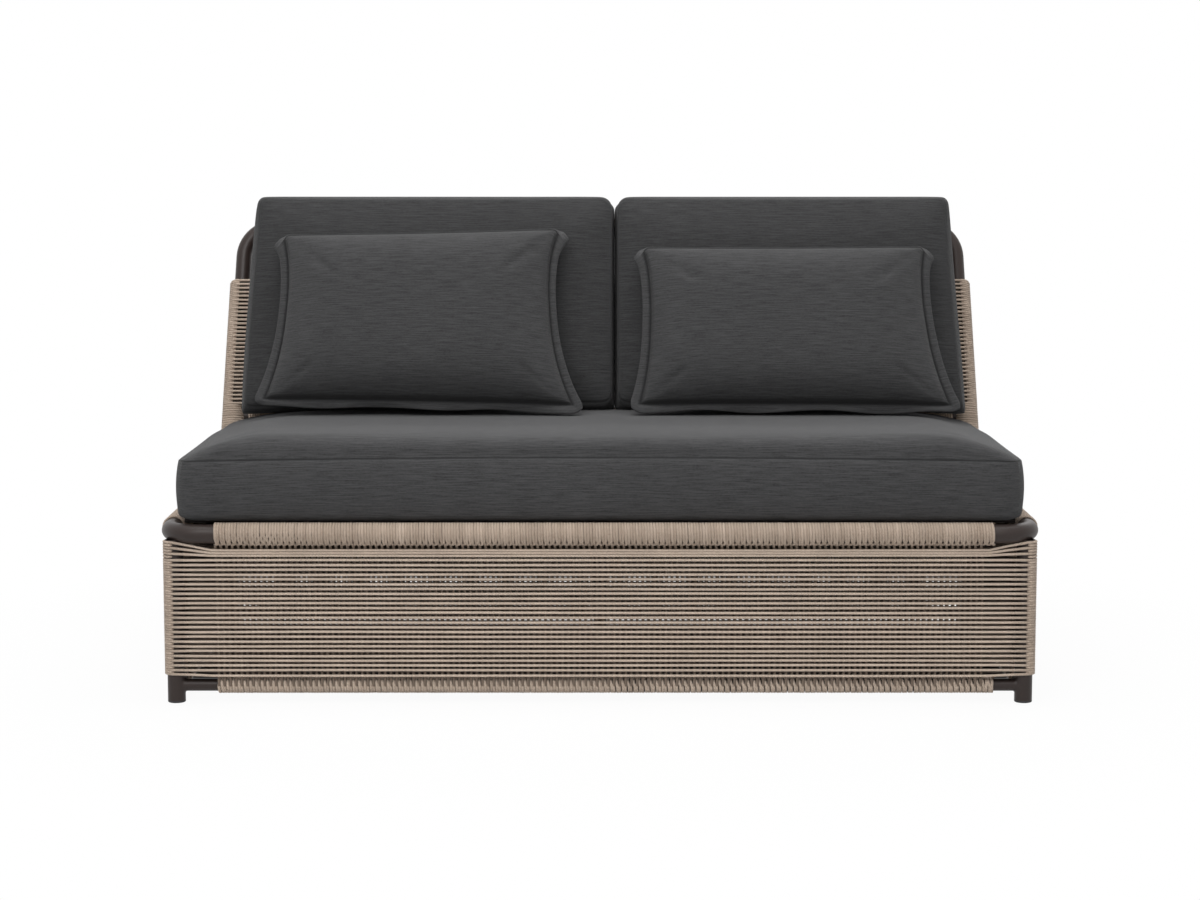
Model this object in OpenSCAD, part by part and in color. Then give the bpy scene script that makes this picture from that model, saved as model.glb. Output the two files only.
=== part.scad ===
// Outdoor two-seater sofa: an armless frame of round aluminium tube wound with rope,
// with one bench seat cushion, two back cushions and two flanged pillows.
// Millimetres, +Z up, the front faces -Y. The origin lies on the floor, below the middle of the sofa.

/* [Seat frame] */
// Width between the centrelines of the left and right seat rails
frame_w = 1548; // [1300:2:2200]
// Depth between the centrelines of the front and rear seat rails
frame_d = 780; // [680:2:920]
// Height of the seat rails' centreline above the floor
rail_z = 308.5; // [240:0.5:380]
// Outer diameter of the seat rails
rail_od = 34; // [30:1:40]
// Corner bend of the seat rails, on the centreline
rail_bend_r = 60; // [52:1:75]
// Wall of every tube
tube_wall = 2; // [1.2:0.1:3]

/* [Posts and feet] */
// Outer diameter of the corner posts
post_od = 32; // [28:1:34]
// From a side rail's centreline in to the post's centre
post_inset_x = 10.5; // [8:0.5:16]
// From the front or rear rail's centreline in to the post's centre
post_inset_y = 19; // [16:0.5:24]
// Outer diameter of the bottom rails
bottom_rail_od = 22; // [18:1:26]
// Height of the bottom rails' centreline above the floor
bottom_rail_z = 31; // [24:1:60]
// Thickness of a glide's sole below its tube
glide_t = 4; // [2:0.5:6]
// Length of a glide's stem inside its tube
glide_stem = 14; // [10:1:18]
// Outer diameter of the leg under the middle of the seat
leg_od = 25; // [20:1:30]

/* [Seat deck] */
// Width of a bearer
bearer_w = 30; // [20:1:40]
// Height of a bearer
bearer_h = 20; // [16:1:24]
// Width of a slat
slat_w = 60; // [40:1:70]
// Thickness of a slat
slat_t = 8; // [5:0.5:10]

/* [Back frame] */
// Lean of the back from upright, in degrees
back_lean = 15; // [8:0.5:20]
// Height of the top rail's centreline above the seat rails, up the lean
back_h = 532; // [460:1:620]
// How far each upright leans in towards the middle, in degrees
back_taper = 2.35; // [0:0.05:4]
// Outer diameter of the uprights and the top rail
back_od = 32; // [28:1:36]
// Outer diameter of the lower back rail
back_low_od = 28; // [24:1:30]
// Bend of the two top corners, on the centreline
back_bend_r = 64; // [56:1:90]
// From a side rail's centreline in to the foot of the upright
back_inset_x = 15; // [12:0.2:20]
// From the rear rail's centreline forward to the foot of the upright
back_inset_y = 40; // [34:1:48]
// Height of the lower back rail above the seat rails, up the lean
back_low_h = 135; // [110:1:170]

/* [Rope] */
// Diameter of the rope
rope_d = 4.8; // [3.5:0.1:6]
// Space left between strands that cross
rope_gap = 0.2; // [0.1:0.05:0.4]
// Spacing of the strands that run across a panel
row_pitch = 8.7; // [6.5:0.1:14]
// Spacing of the strands that run from rail to rail
strand_pitch = 10.3; // [8:0.1:20]
// Number of rows that lie tight together below the seat rail
tight_rows = 3; // [1:1:5]
// Bare tube between a corner bend and the first winding
bare_len = 16; // [6:1:30]

/* [Seat cushion] */
// Width of the seat cushion
seat_w = 1520; // [1260:2:2150]
// Thickness of the seat cushion at its corners
seat_t = 108; // [80:1:150]
// How far its seams rise in the middle of each side
seat_rise = 10; // [0:1:20]
// How far its top swells above the seams
seat_crown = 25; // [8:1:40]

/* [Back cushions] */
// Thickness of a back cushion, without the swell of its front
back_cushion_t = 132; // [100:1:170]
// How far the front of a back cushion swells
back_cushion_crown = 18; // [5:1:30]
// Height of the back cushions' top above the seat rails, up the lean
back_cushion_h = 565; // [480:1:640]
// Width of the left back cushion
left_cushion_w = 739; // [600:1:900]
// Width of the right back cushion
right_cushion_w = 696; // [600:1:900]
// Place of the gap between the back cushions, from the middle of the sofa
cushion_gap_x = 30; // [-60:1:60]
// Width of the gap between the back cushions
cushion_gap = 6; // [2:1:20]

/* [Pillows] */
// Width of a pillow along its top
pillow_top_w = 606; // [450:1:700]
// Width of a pillow along its bottom
pillow_low_w = 668; // [480:1:760]
// Height of the left pillow
left_pillow_h = 374; // [300:1:420]
// Height of the right pillow
right_pillow_h = 342; // [300:1:420]
// Thickness of a pillow at its middle
pillow_t = 100; // [70:1:140]
// Width of the flat flange round a pillow
flange_w = 13; // [6:1:25]
// Thickness of the flange
flange_t = 5; // [3:0.5:8]
// How far a pillow leans back beyond the back cushion, in degrees
pillow_tilt = 6; // [0:1:12]
// Middle of the left pillow, from the middle of the sofa
left_pillow_x = -355; // [-460:1:-250]
// Middle of the right pillow, from the middle of the sofa
right_pillow_x = 380; // [250:1:460]

/* [Hidden] */

tube_fn = 64;
rope_fn = 16;
bearer_count = 5;    // bearers from the front rail to the rear rail
slat_count = 7;      // slats across the bearers
cut = 1;             // how far a cutting solid runs past what it cuts
seat_clear = 0.3;    // space between a soft piece and what it rests on
top_row_clear = 3.2; // space between the seat rail's winding and the first row
edge_r = 24;         // roll of the box cushions' edges
seat_draw_in = 3;    // how far the seat cushion's sides draw in
seat_corner_r = 40;  // its corners in plan
back_draw_in = 4;    // how far a back cushion's sides draw in
back_corner_r = 34;  // its corners seen from the front

metal = "#3d3230";
deck_metal = "#352c2a";
rope_tan = "#9b8a7a";
charcoal = "#434345";
pillow_grey = "#474749";
glide_black = "#1c1c1e";

// Sizes taken as multiples of the rope, the bearer, the flange and the depth
low_row_share = 1.2;          // first row above the bottom rail's winding
end_clear_share = 4;          // from the front rail to the first slat
rear_clear_share = 2;         // from the uprights' winding to the last slat
bare_upright_share = 10;      // bare tube below the top bends
foot_clear_share = 10;        // from the seat rail to the uprights' winding
outer_bearer_share = 0.75;    // from the end of the straight rail to the outer bearer
pillow_slack_share = 0.2;     // how loosely a pillow leans
pillow_side_share = 2.6;      // how far a pillow's sides draw in
pillow_end_share = 0.7;       // how far its top and bottom draw in
seat_level_share = 0.6;       // how far in front of its middle the seat cushion's top becomes level

// Round-tube and winding radii
rail_r = rail_od / 2;
post_r = post_od / 2;
low_r = bottom_rail_od / 2;
back_r = back_od / 2;
back_low_r = back_low_od / 2;
rail_wrap_r = rail_r + rope_d;
post_wrap_r = post_r + rope_d;
low_wrap_r = low_r + rope_d;
back_wrap_r = back_r + rope_d;
back_low_wrap_r = back_low_r + rope_d;
upright_wrap_r = back_r + 2 * (rope_d + rope_gap);  // the uprights carry two layers
layer = rope_d + rope_gap;                          // from one layer of rope to the next

// The sofa reaches from the wound front rail to the wound top rail, and the origin is midway
back_reach = back_h * sin(back_lean) + back_wrap_r - back_inset_y;
total_d = rail_wrap_r + frame_d + back_reach;
front_y = rail_wrap_r - total_d / 2;
rear_y = front_y + frame_d;
side_x = frame_w / 2;

post_x = side_x - post_inset_x;
post_front_y = front_y + post_inset_y;
post_rear_y = rear_y - post_inset_y;
post_mid_y = (post_front_y + post_rear_y) / 2;

// Straight lengths between the corner bends, and the windings on them
front_half = side_x - rail_bend_r;
side_half = frame_d / 2 - rail_bend_r;
front_wrap_half = front_half - bare_len;
side_wrap_half = side_half - bare_len;

// Rows of rope across a panel, from the tight band under the seat rail to just above the bottom rail
row_top_z = rail_z - rail_wrap_r - rope_d / 2 - top_row_clear;
row_low_z = bottom_rail_z + low_wrap_r + rope_d * low_row_share;
open_top_z = row_top_z - (tight_rows - 1) * layer - 2 * layer;
open_rows = round((open_top_z - row_low_z) / row_pitch);
open_pitch = (open_top_z - row_low_z) / open_rows;
row_heights = concat(
  [for (i = [0 : tight_rows - 1]) row_top_z - i * layer],
  [for (i = [0 : open_rows]) open_top_z - i * open_pitch]
);
post_wrap_low_z = row_low_z - rope_d;
post_wrap_top_z = rail_z - rail_r + rope_d;
post_top_z = post_wrap_top_z;

// Seat deck
deck_top_z = rail_z + rail_wrap_r;
bearer_top_z = deck_top_z - slat_t;
bearer_low_z = bearer_top_z - bearer_h;
bearer_span = 2 * (front_half - bearer_w * outer_bearer_share);
slat_half = side_x - rail_wrap_r - rope_d;
slat_front_y = front_y + rail_wrap_r + rope_d * end_clear_share + slat_w / 2;
slat_rear_y = rear_y - back_inset_y - upright_wrap_r - rope_d * rear_clear_share - slat_w / 2;

// Back frame: the upright's foot, and the centre of its top bend
foot_x = side_x - back_inset_x;
foot_y = rear_y - back_inset_y;
bend_z = back_h - back_bend_r;
bend_x = foot_x - bend_z * tan(back_taper) - back_bend_r / cos(back_taper);
upright_len = (bend_z + back_bend_r * sin(back_taper)) / cos(back_taper);
back_wrap_low = upright_wrap_r + rope_gap * foot_clear_share;
back_wrap_top = bend_z - rope_d * bare_upright_share;
back_row_low = back_low_h + back_low_wrap_r + rope_d;
back_rows = floor((back_wrap_top - rope_d - back_row_low) / row_pitch);
upright_layer_r = back_r + layer + rope_d / 2 + rope_gap / 2;
back_strand_half = bend_x - bare_len;

// Cushions
seat_front_y = front_y - rope_d / 2;
seat_rear_y = foot_y - upright_wrap_r - seat_clear;
seat_d = seat_rear_y - seat_front_y;
seat_low_z = deck_top_z + seat_clear;
seat_top_z = seat_low_z + seat_t + seat_rise + seat_crown;
cushion_plane = upright_wrap_r + seat_clear;
cushion_low_h = (seat_top_z + seat_clear - rail_z - cushion_plane * sin(back_lean)) / cos(back_lean);
pillow_plane = cushion_plane + back_cushion_t + back_cushion_crown + seat_clear;

// Mirrors what stands on the right to the left
module on_side(side) {
  if (side < 0) mirror([1, 0, 0]) children();
  else children();
}

// A straight tube along +Z, open at both ends
module tube(od, length) {
  difference() {
    cylinder(d = od, h = length, $fn = tube_fn);
    translate([0, 0, -cut]) cylinder(d = od - 2 * tube_wall, h = length + 2 * cut, $fn = tube_fn);
  }
}

// A bent tube: a turn of the given angle round +Z, from the X axis
module bent_tube(od, bend_r, angle) {
  rotate_extrude(angle = angle, $fn = tube_fn)
    translate([bend_r, 0]) difference() {
      circle(d = od, $fn = tube_fn);
      circle(d = od - 2 * tube_wall, $fn = tube_fn);
    }
}

// A rod along +X, centred on the origin
module rod_x(r, length) {
  rotate([0, 90, 0]) cylinder(r = r, h = length, center = true, $fn = tube_fn);
}

// The right-hand corner bend of the seat rail as a solid, for coping what meets it.
// end is -1 at the front and 1 at the rear
module corner_solid(end, grow = 0) {
  translate([front_half, (front_y + rear_y) / 2 + end * side_half, rail_z])
    rotate([0, 0, end < 0 ? -90 : 0])
      rotate_extrude(angle = 90, $fn = tube_fn)
        translate([rail_bend_r, 0]) circle(r = rail_r + grow, $fn = tube_fn);
}

module post(side, end) {
  color(metal) on_side(side) difference() {
    translate([post_x, end < 0 ? post_front_y : post_rear_y, glide_t]) tube(post_od, post_top_z - glide_t);
    corner_solid(end);
  }
}

module cross_seat_rail(y) {
  color(metal) translate([-front_half, y, rail_z]) rotate([0, 90, 0]) tube(rail_od, 2 * front_half);
}

module side_seat_rail(side) {
  mid_y = (front_y + rear_y) / 2;
  color(metal) on_side(side) {
    translate([side_x, mid_y + side_half, rail_z]) rotate([90, 0, 0]) tube(rail_od, 2 * side_half);
    translate([front_half, mid_y - side_half, rail_z]) rotate([0, 0, -90])
      bent_tube(rail_od, rail_bend_r, 90);
    translate([front_half, mid_y + side_half, rail_z]) bent_tube(rail_od, rail_bend_r, 90);
  }
}

module post_rod(x, y, r) {
  translate([x, y, 0]) cylinder(r = r, h = rail_z, $fn = tube_fn);
}

module cross_bottom_rail(y) {
  color(metal) difference() {
    translate([-post_x, y, bottom_rail_z]) rotate([0, 90, 0]) tube(bottom_rail_od, 2 * post_x);
    for (side = [-1, 1]) post_rod(side * post_x, y, post_r);
  }
}

module side_bottom_rail(side) {
  color(metal) on_side(side) difference() {
    translate([post_x, post_rear_y, bottom_rail_z]) rotate([90, 0, 0])
      tube(bottom_rail_od, post_rear_y - post_front_y);
    for (y = [post_front_y, post_rear_y]) post_rod(post_x, y, post_r);
  }
}

// The centre of one bearer, counted from the left
function bearer_x(i) = -bearer_span / 2 + (i - 1) * bearer_span / (bearer_count - 1);

module bearer_block(i, grow = 0) {
  translate([
    bearer_x(i) - bearer_w / 2 - grow, front_y, bearer_low_z - grow
  ]) cube([bearer_w + 2 * grow, frame_d, bearer_h + 2 * grow]);
}

module bearer(i) {
  inner_w = bearer_w - 2 * tube_wall;
  color(deck_metal) difference() {
    bearer_block(i);
    translate([bearer_x(i) - inner_w / 2, front_y, bearer_low_z + tube_wall])
      cube([inner_w, frame_d, bearer_h - 2 * tube_wall]);
    for (y = [front_y, rear_y]) translate([0, y, rail_z]) rod_x(rail_r, frame_w);
  }
}

module slat(i) {
  pitch = (slat_rear_y - slat_front_y) / (slat_count - 1);
  round_r = slat_t / 2;
  color(deck_metal)
    translate([0, slat_front_y + (i - 1) * pitch, bearer_top_z + round_r])
      rotate([0, 90, 0]) linear_extrude(2 * slat_half, center = true) {
        square([slat_t, slat_w - 2 * round_r], center = true);
        for (end = [-1, 1]) translate([0, end * (slat_w / 2 - round_r)]) circle(r = round_r, $fn = tube_fn);
      }
}

module centre_leg() {
  color(deck_metal) translate([0, post_mid_y, glide_t]) tube(leg_od, bearer_low_z - glide_t);
}

// A moulded glide: a rounded sole under the tube, and a stem inside it
module glide(x, y, od) {
  sole_r = od / 2;
  stem_r = sole_r - tube_wall;
  corner = glide_t / 2;
  color(glide_black) translate([x, y, 0]) rotate_extrude($fn = tube_fn) {
    square([sole_r - corner, glide_t]);
    translate([0, corner]) square([sole_r, glide_t - corner]);
    translate([sole_r - corner, corner]) circle(r = corner, $fn = tube_fn);
    square([stem_r, glide_t + glide_stem]);
  }
}

// The back frame's own place: X along the sofa, Z up the lean, -Y towards the sitter
module back_place() {
  translate([0, foot_y, rail_z]) rotate([-back_lean, 0, 0]) children();
}

// The right upright's own place: Z along its axis from its foot
module upright_place() {
  translate([foot_x, 0, 0]) rotate([0, -back_taper, 0]) children();
}

module back_upright(side) {
  color(metal) on_side(side) difference() {
    back_place() upright_place() tube(back_od, upright_len);
    corner_solid(1);
  }
}

// The top rail with its two bent corners, butt welded to the uprights
module back_top_rail() {
  color(metal) back_place() {
    translate([-bend_x, 0, back_h]) rotate([0, 90, 0]) tube(back_od, 2 * bend_x);
    for (side = [-1, 1]) on_side(side) translate([bend_x, 0, bend_z]) rotate([90, 0, 0])
      rotate([0, 0, back_taper]) bent_tube(back_od, back_bend_r, 90 - back_taper);
  }
}

// Half the distance between the uprights' axes at a height up the lean
function upright_x(h) = foot_x - h * tan(back_taper);

module back_lower_rail() {
  reach = upright_x(back_low_h);
  color(metal) back_place() difference() {
    translate([-reach, 0, back_low_h]) rotate([0, 90, 0]) tube(back_low_od, 2 * reach);
    for (side = [-1, 1]) on_side(side) upright_place() cylinder(d = back_od, h = upright_len, $fn = tube_fn);
  }
}

// A winding on a tube along +Z, from low to high, round a centre in the XY plane
module winding(inner_r, outer_r, low, high, centre = [0, 0]) {
  translate([centre[0], centre[1], low]) difference() {
    cylinder(r = outer_r, h = high - low, $fn = tube_fn);
    translate([0, 0, -cut]) cylinder(r = inner_r, h = high - low + 2 * cut, $fn = tube_fn);
  }
}

// Where the line from a to b first meets a circle, as a distance from a
function reach_to(a, b, centre, r) =
  let (way = (b - a) / norm(b - a), to_a = a - centre, along = to_a * way)
  -along - sqrt(along * along - to_a * to_a + r * r);

// A plane cut through the end of a strand, along the face of the winding that it meets
module end_cut(point, centre) {
  size = 4 * rope_d;
  inward = centre - point;
  translate([point[0], point[1], 0]) rotate([0, 0, atan2(inward[1], inward[0])])
    translate([0, -size / 2, -size / 2]) cube(size);
}

// A strand in the XY plane between two windings, given by their centres and outer radii.
// It runs along the line from a to b, and each end is cut to lie against its winding
module strand(a, b, centre_a, r_a, centre_b, r_b) {
  way = (b - a) / norm(b - a);
  start = b - way * reach_to(b, a, centre_a, r_a + rope_gap);
  stop = a + way * reach_to(a, b, centre_b, r_b + rope_gap);
  spare = rope_d;
  rod_start = start - way * spare;
  difference() {
    translate([rod_start[0], rod_start[1], 0]) rotate([0, 0, atan2(way[1], way[0])]) rotate([0, 90, 0])
      cylinder(d = rope_d, h = norm(stop - start) + 2 * spare, $fn = rope_fn);
    end_cut(start, centre_a);
    end_cut(stop, centre_b);
  }
}

// Turns a panel whose windings run along Z so that they run along X, with its strands upright
module upright_strands() {
  rotate([90, 0, 90]) children();
}

// Rope across the front or rear panel: windings on both posts, and two layers of rows between them
module cross_rope(end) {
  y = end < 0 ? post_front_y : post_rear_y;
  left = [-post_x, y];
  right = [post_x, y];
  color(rope_tan) {
    for (side = [-1, 1]) on_side(side) difference() {
      winding(post_r, post_wrap_r, post_wrap_low_z, post_wrap_top_z, right);
      corner_solid(end, rope_gap);
    }
    for (z = row_heights, face = [-1, 1]) {
      out = [0, face * (post_r + layer / 2)];
      translate([0, 0, z]) strand(left + out, right + out, left, post_wrap_r, right, post_wrap_r);
    }
  }
}

// Rope along a side panel: its rows lie between those of the front, and meet the windings on the posts.
// The outer layer runs along the posts' outer faces, and the inner one from the middle of one to the other
module side_cross_rope(side) {
  front = [post_x, post_front_y];
  rear = [post_x, post_rear_y];
  color(rope_tan) on_side(side)
    for (z = row_heights, outer = [0, 1])
      if (z - open_pitch / 2 > post_wrap_low_z + rope_d / 2) {
        out = [outer * (post_r + layer / 2), 0];
        translate([0, 0, z - open_pitch / 2])
          strand(front + out, rear + out, front, post_wrap_r, rear, post_wrap_r);
      }
}

// Places of the strands along a wound length
function strand_places(half) =
  let (steps = floor((2 * half - strand_pitch) / strand_pitch))
  [for (i = [0 : steps]) (i - steps / 2) * strand_pitch];

// How far a place along the front or rear rail is from the nearest bearer's side
function bearer_space(x) = min([for (i = [1 : bearer_count]) abs(x - bearer_x(i))]) - bearer_w / 2;

// Windings and strands of one panel, drawn in the plane across its rails: X is depth, Y is height.
// The outer face is -X, and the bottom rail stands inset from the seat rail
module upright_panel(half, inset, bearers) {
  rail = [0, rail_z];
  low = [inset, bottom_rail_z];
  low_out = [low_r + rope_d / 2, 0];
  rail_out = [rail_r + rope_d / 2, 0];
  outer = low - low_out;
  upright_strands() {
    winding(low_r, low_wrap_r, -half, half, low);
    for (place = strand_places(half)) translate([0, 0, place]) {
      strand(outer, [outer[0], rail_z], low, low_wrap_r, rail, rail_wrap_r);
      if (!bearers || bearer_space(place) > rope_d)
        strand(low + low_out, rail + rail_out, low, low_wrap_r, rail, rail_wrap_r);
    }
  }
}

module cross_upright_rope(end) {
  color(rope_tan) {
    translate([0, end < 0 ? front_y : rear_y, 0]) mirror([0, end < 0 ? 0 : 1, 0])
      upright_panel(front_wrap_half, post_inset_y, true);
    difference() {
      translate([0, end < 0 ? front_y : rear_y, 0]) upright_strands()
        winding(rail_r, rail_wrap_r, -front_wrap_half, front_wrap_half, [0, rail_z]);
      for (i = [1 : bearer_count]) bearer_block(i, seat_clear);
    }
  }
}

module side_upright_rope(side) {
  color(rope_tan) on_side(side) translate([side_x, (front_y + rear_y) / 2, 0]) rotate([0, 0, 90]) {
    upright_panel(side_wrap_half, post_inset_x, false);
    upright_strands() winding(rail_r, rail_wrap_r, -side_wrap_half, side_wrap_half, [0, rail_z]);
  }
}

// Rope across the back: two layers on each upright, and two layers of rows between them
module back_cross_rope() {
  color(rope_tan) back_place() {
    difference() {
      for (side = [-1, 1]) on_side(side) upright_place()
        winding(back_r, upright_wrap_r, back_wrap_low, back_wrap_top);
      translate([0, 0, back_low_h]) rod_x(back_low_r + rope_gap, 2 * foot_x);
    }
    for (i = [0 : back_rows], face = [-1, 1]) {
      h = back_row_low + i * row_pitch;
      left = [-upright_x(h), 0];
      right = [upright_x(h), 0];
      out = [0, face * upright_layer_r];
      translate([0, 0, h]) strand(left + out, right + out, left, upright_wrap_r, right, upright_wrap_r);
    }
  }
}

module back_upright_rope() {
  low_half = upright_x(back_low_h) - upright_wrap_r - rope_d;
  low = [0, back_low_h];
  top = [0, back_h];
  color(rope_tan) back_place() upright_strands() {
    winding(back_low_r, back_low_wrap_r, -low_half, low_half, low);
    winding(back_r, back_wrap_r, -back_strand_half, back_strand_half, top);
    for (place = strand_places(back_strand_half), face = [-1, 1]) translate([0, 0, place])
      strand(
        low + [face * (back_low_r + rope_d / 2), 0], top + [face * (back_r + rope_d / 2), 0],
        low, back_low_wrap_r, top, back_wrap_r
      );
  }
}

// Soft forms. A pad is a stack of closed rings that share one outline.
corner_steps = 4;
side_steps = 7;
side_count = 4;
ring_size = side_count * (corner_steps + 1 + side_steps);
quarter = 90;

// Outline of a rounded rectangle of half sizes a and b, as [x, y, normal x, normal y]
function outline(a, b, r) = [
  for (c = [0 : side_count - 1])
    let (
      turn = c * quarter, next = turn + quarter,
      here = [sign(cos(turn + quarter / 2)) * (a - r), sign(sin(turn + quarter / 2)) * (b - r)],
      there = [sign(cos(next + quarter / 2)) * (a - r), sign(sin(next + quarter / 2)) * (b - r)]
    )
    each concat(
      [for (k = [0 : corner_steps])
        let (angle = turn + k * quarter / corner_steps)
        [here[0] + r * cos(angle), here[1] + r * sin(angle), cos(angle), sin(angle)]],
      [for (k = [1 : side_steps])
        let (way = here + (there - here) * k / (side_steps + 1))
        [way[0] + r * cos(next), way[1] + r * sin(next), cos(next), sin(next)]]
    )
];

// How much of its full swell a pad has at a place, from 1 in the middle to 0 at the edge
function swell(x, y, a, b) = max(0, 1 - pow(x / a, 2)) * max(0, 1 - pow(y / b, 2));

// Closes a stack of rings with a point at each end
module ring_solid(rings, low_tip, high_tip) {
  count = len(rings);
  n = ring_size;
  points = concat([for (ring = rings) each ring], [low_tip, high_tip]);
  low = count * n;
  high = low + 1;
  faces = concat(
    [for (j = [0 : count - 2], i = [0 : n - 1]) let (k = (i + 1) % n) each [
      [j * n + i, (j + 1) * n + i, (j + 1) * n + k],
      [j * n + i, (j + 1) * n + k, j * n + k]
    ]],
    [for (i = [0 : n - 1]) let (k = (i + 1) % n) [i, k, low]],
    [for (i = [0 : n - 1]) let (k = (i + 1) % n)
      [(count - 1) * n + k, (count - 1) * n + i, high]]
  );
  polyhedron(points, faces, convexity = 4);
}

roll_angles = [0, 30, 60, 90];
inner_shares = [0.4, 0.78];
crown_shares = [0.94, 0.8, 0.6, 0.35];

// How much of its crown a box cushion has along its depth. Where level isn't zero, it keeps the full
// crown from that share in front of its middle to its rear
function depth_swell(y, b, level) =
  level > 0 ? 1 - pow(max(0, -y - level * b) / (b - level * b), 4) : 1 - pow(y / b, 2);

// A box cushion of size w by d with its flat face down. Its sides draw in between the corners,
// its seams rise by rise, and its top swells by crown. Its low end is cut level where foot_lean isn't zero
module box_cushion(w, d, t, rise, crown, draw_in, corner_r, level = 0, foot_lean = 0) {
  a = w / 2;
  b = d / 2;
  base = outline(a, b, corner_r);
  function top_z(x, y) = t + rise * (1 - pow(x / a, 2) * pow(y / b, 2))
    + crown * (1 - pow(x / a, 8)) * depth_swell(y, b, level);
  function placed(x, y, z) = [
    x * (1 - draw_in / a * (1 - pow(y / b, 2))),
    y * (1 - draw_in / b * (1 - pow(x / a, 2)))
      - z * tan(foot_lean) * max(0, -y / b),
    z
  ];
  function inset_at(angle) = edge_r * (1 - sin(angle));
  function ring(inset, share, low, drop) = [
    for (p = base)
      let (x = (p[0] - p[2] * inset) * share, y = (p[1] - p[3] * inset) * share)
      placed(x, y, low ? drop : top_z(x, y) - drop)
  ];
  rings = concat(
    [for (share = inner_shares) ring(edge_r, share, true, 0)],
    [for (angle = roll_angles) ring(inset_at(angle), 1, true, edge_r * (1 - cos(angle)))],
    [for (i = [len(roll_angles) - 1 : -1 : 0])
      ring(inset_at(roll_angles[i]), 1, false, edge_r * (1 - cos(roll_angles[i])))],
    [for (share = crown_shares) ring(edge_r, share, false, 0)]
  );
  ring_solid(rings, [0, 0, 0], [0, 0, top_z(0, 0)]);
}

pillow_shares = [0.25, 0.5, 0.7, 0.85, 0.95];
pillow_fullness_share = 0.62;

// A pillow in the XY plane: two swelled faces, drawn-in sides and a flat flange
module flanged_pillow(top_w, low_w, h, t) {
  a = (top_w + low_w) / 4 - flange_w;
  b = h / 2 - flange_w;
  splay = (low_w - top_w) / 4 / b;
  corner_r = flange_w;
  side_draw = flange_w * pillow_side_share;
  end_draw = flange_w * pillow_end_share;
  bulge = t / 2 - flange_t / 2;
  base = outline(a, b, corner_r);
  function placed(x, y, z) = [
    x * (1 - splay * y / a) * (1 - side_draw / a * (1 - pow(y / b, 2))),
    y * (1 - end_draw / b * max(0, 1 - pow(x / a, 2))),
    z
  ];
  function face_z(x, y) = flange_t / 2 + bulge * pow(swell(x, y, a, b), pillow_fullness_share);
  function ring(out, share, face) = [
    for (p = base)
      let (x = (p[0] + p[2] * out) * share, y = (p[1] + p[3] * out) * share)
      placed(x, y, face * (share < 1 ? face_z(x, y) : flange_t / 2))
  ];
  last = len(pillow_shares) - 1;
  rings = concat(
    [for (share = pillow_shares) ring(0, share, -1)],
    [ring(0, 1, -1), ring(flange_w, 1, -1), ring(flange_w, 1, 1), ring(0, 1, 1)],
    [for (i = [last : -1 : 0]) ring(0, pillow_shares[i], 1)]
  );
  ring_solid(rings, [0, 0, -face_z(0, 0)], [0, 0, face_z(0, 0)]);
}

module seat_cushion() {
  color(charcoal) translate([0, (seat_front_y + seat_rear_y) / 2, seat_low_z])
    box_cushion(seat_w, seat_d, seat_t, seat_rise, seat_crown, seat_draw_in, seat_corner_r, seat_level_share);
}

// A back cushion between two places along X. Its flat face lies against the rope of the back
module back_cushion(low_x, high_x) {
  h = back_cushion_h - cushion_low_h;
  color(charcoal) back_place()
    translate([(low_x + high_x) / 2, -cushion_plane, cushion_low_h + h / 2]) rotate([90, 0, 0])
      box_cushion(high_x - low_x, h, back_cushion_t, 0, back_cushion_crown, back_draw_in, back_corner_r,
        foot_lean = back_lean);
}

// A pillow that leans on a back cushion, with its low edge on the seat cushion
module pillow(x, h) {
  lean = back_lean + pillow_tilt;
  out = pillow_t / 2 / cos(pillow_tilt) + flange_w * pillow_slack_share;
  mid_out = pillow_plane + out;
  half_w = (pillow_top_w + pillow_low_w) / 4 - flange_w;
  corner_lift = flange_w * pillow_end_share * (1 - pow(1 - flange_w / half_w, 2));
  mid_z = seat_top_z + seat_clear + (h / 2 - corner_lift) * cos(lean) + flange_t / 2 * sin(lean);
  up = (mid_z - rail_z - mid_out * sin(back_lean)) / cos(back_lean);
  color(pillow_grey) back_place() translate([x, -mid_out, up]) rotate([90 - pillow_tilt, 0, 0])
    flanged_pillow(pillow_top_w, pillow_low_w, h, pillow_t);
}

post(-1, -1);  // front_left_post
post(1, -1);  // front_right_post
post(-1, 1);  // rear_left_post
post(1, 1);  // rear_right_post
cross_seat_rail(front_y);  // front_seat_rail
cross_seat_rail(rear_y);  // rear_seat_rail
side_seat_rail(-1);  // left_seat_rail
side_seat_rail(1);  // right_seat_rail
cross_bottom_rail(post_front_y);  // front_bottom_rail
cross_bottom_rail(post_rear_y);  // rear_bottom_rail
side_bottom_rail(-1);  // left_bottom_rail
side_bottom_rail(1);  // right_bottom_rail
for (i = [1 : bearer_count]) bearer(i);
for (i = [1 : slat_count]) slat(i);
centre_leg();
back_upright(-1);  // back_left_upright
back_upright(1);  // back_right_upright
back_top_rail();
back_lower_rail();
glide(-post_x, post_front_y, post_od);  // glide_front_left
glide(post_x, post_front_y, post_od);  // glide_front_right
glide(-post_x, post_rear_y, post_od);  // glide_rear_left
glide(post_x, post_rear_y, post_od);  // glide_rear_right
glide(0, post_mid_y, leg_od);  // glide_centre
cross_rope(-1);  // front_cross_rope
cross_rope(1);  // rear_cross_rope
side_cross_rope(-1);  // left_cross_rope
side_cross_rope(1);  // right_cross_rope
cross_upright_rope(-1);  // front_upright_rope
cross_upright_rope(1);  // rear_upright_rope
side_upright_rope(-1);  // left_upright_rope
side_upright_rope(1);  // right_upright_rope
back_cross_rope();
back_upright_rope();
seat_cushion();
back_cushion(cushion_gap_x - cushion_gap / 2 - left_cushion_w, cushion_gap_x - cushion_gap / 2);  // left_back_cushion
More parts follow.
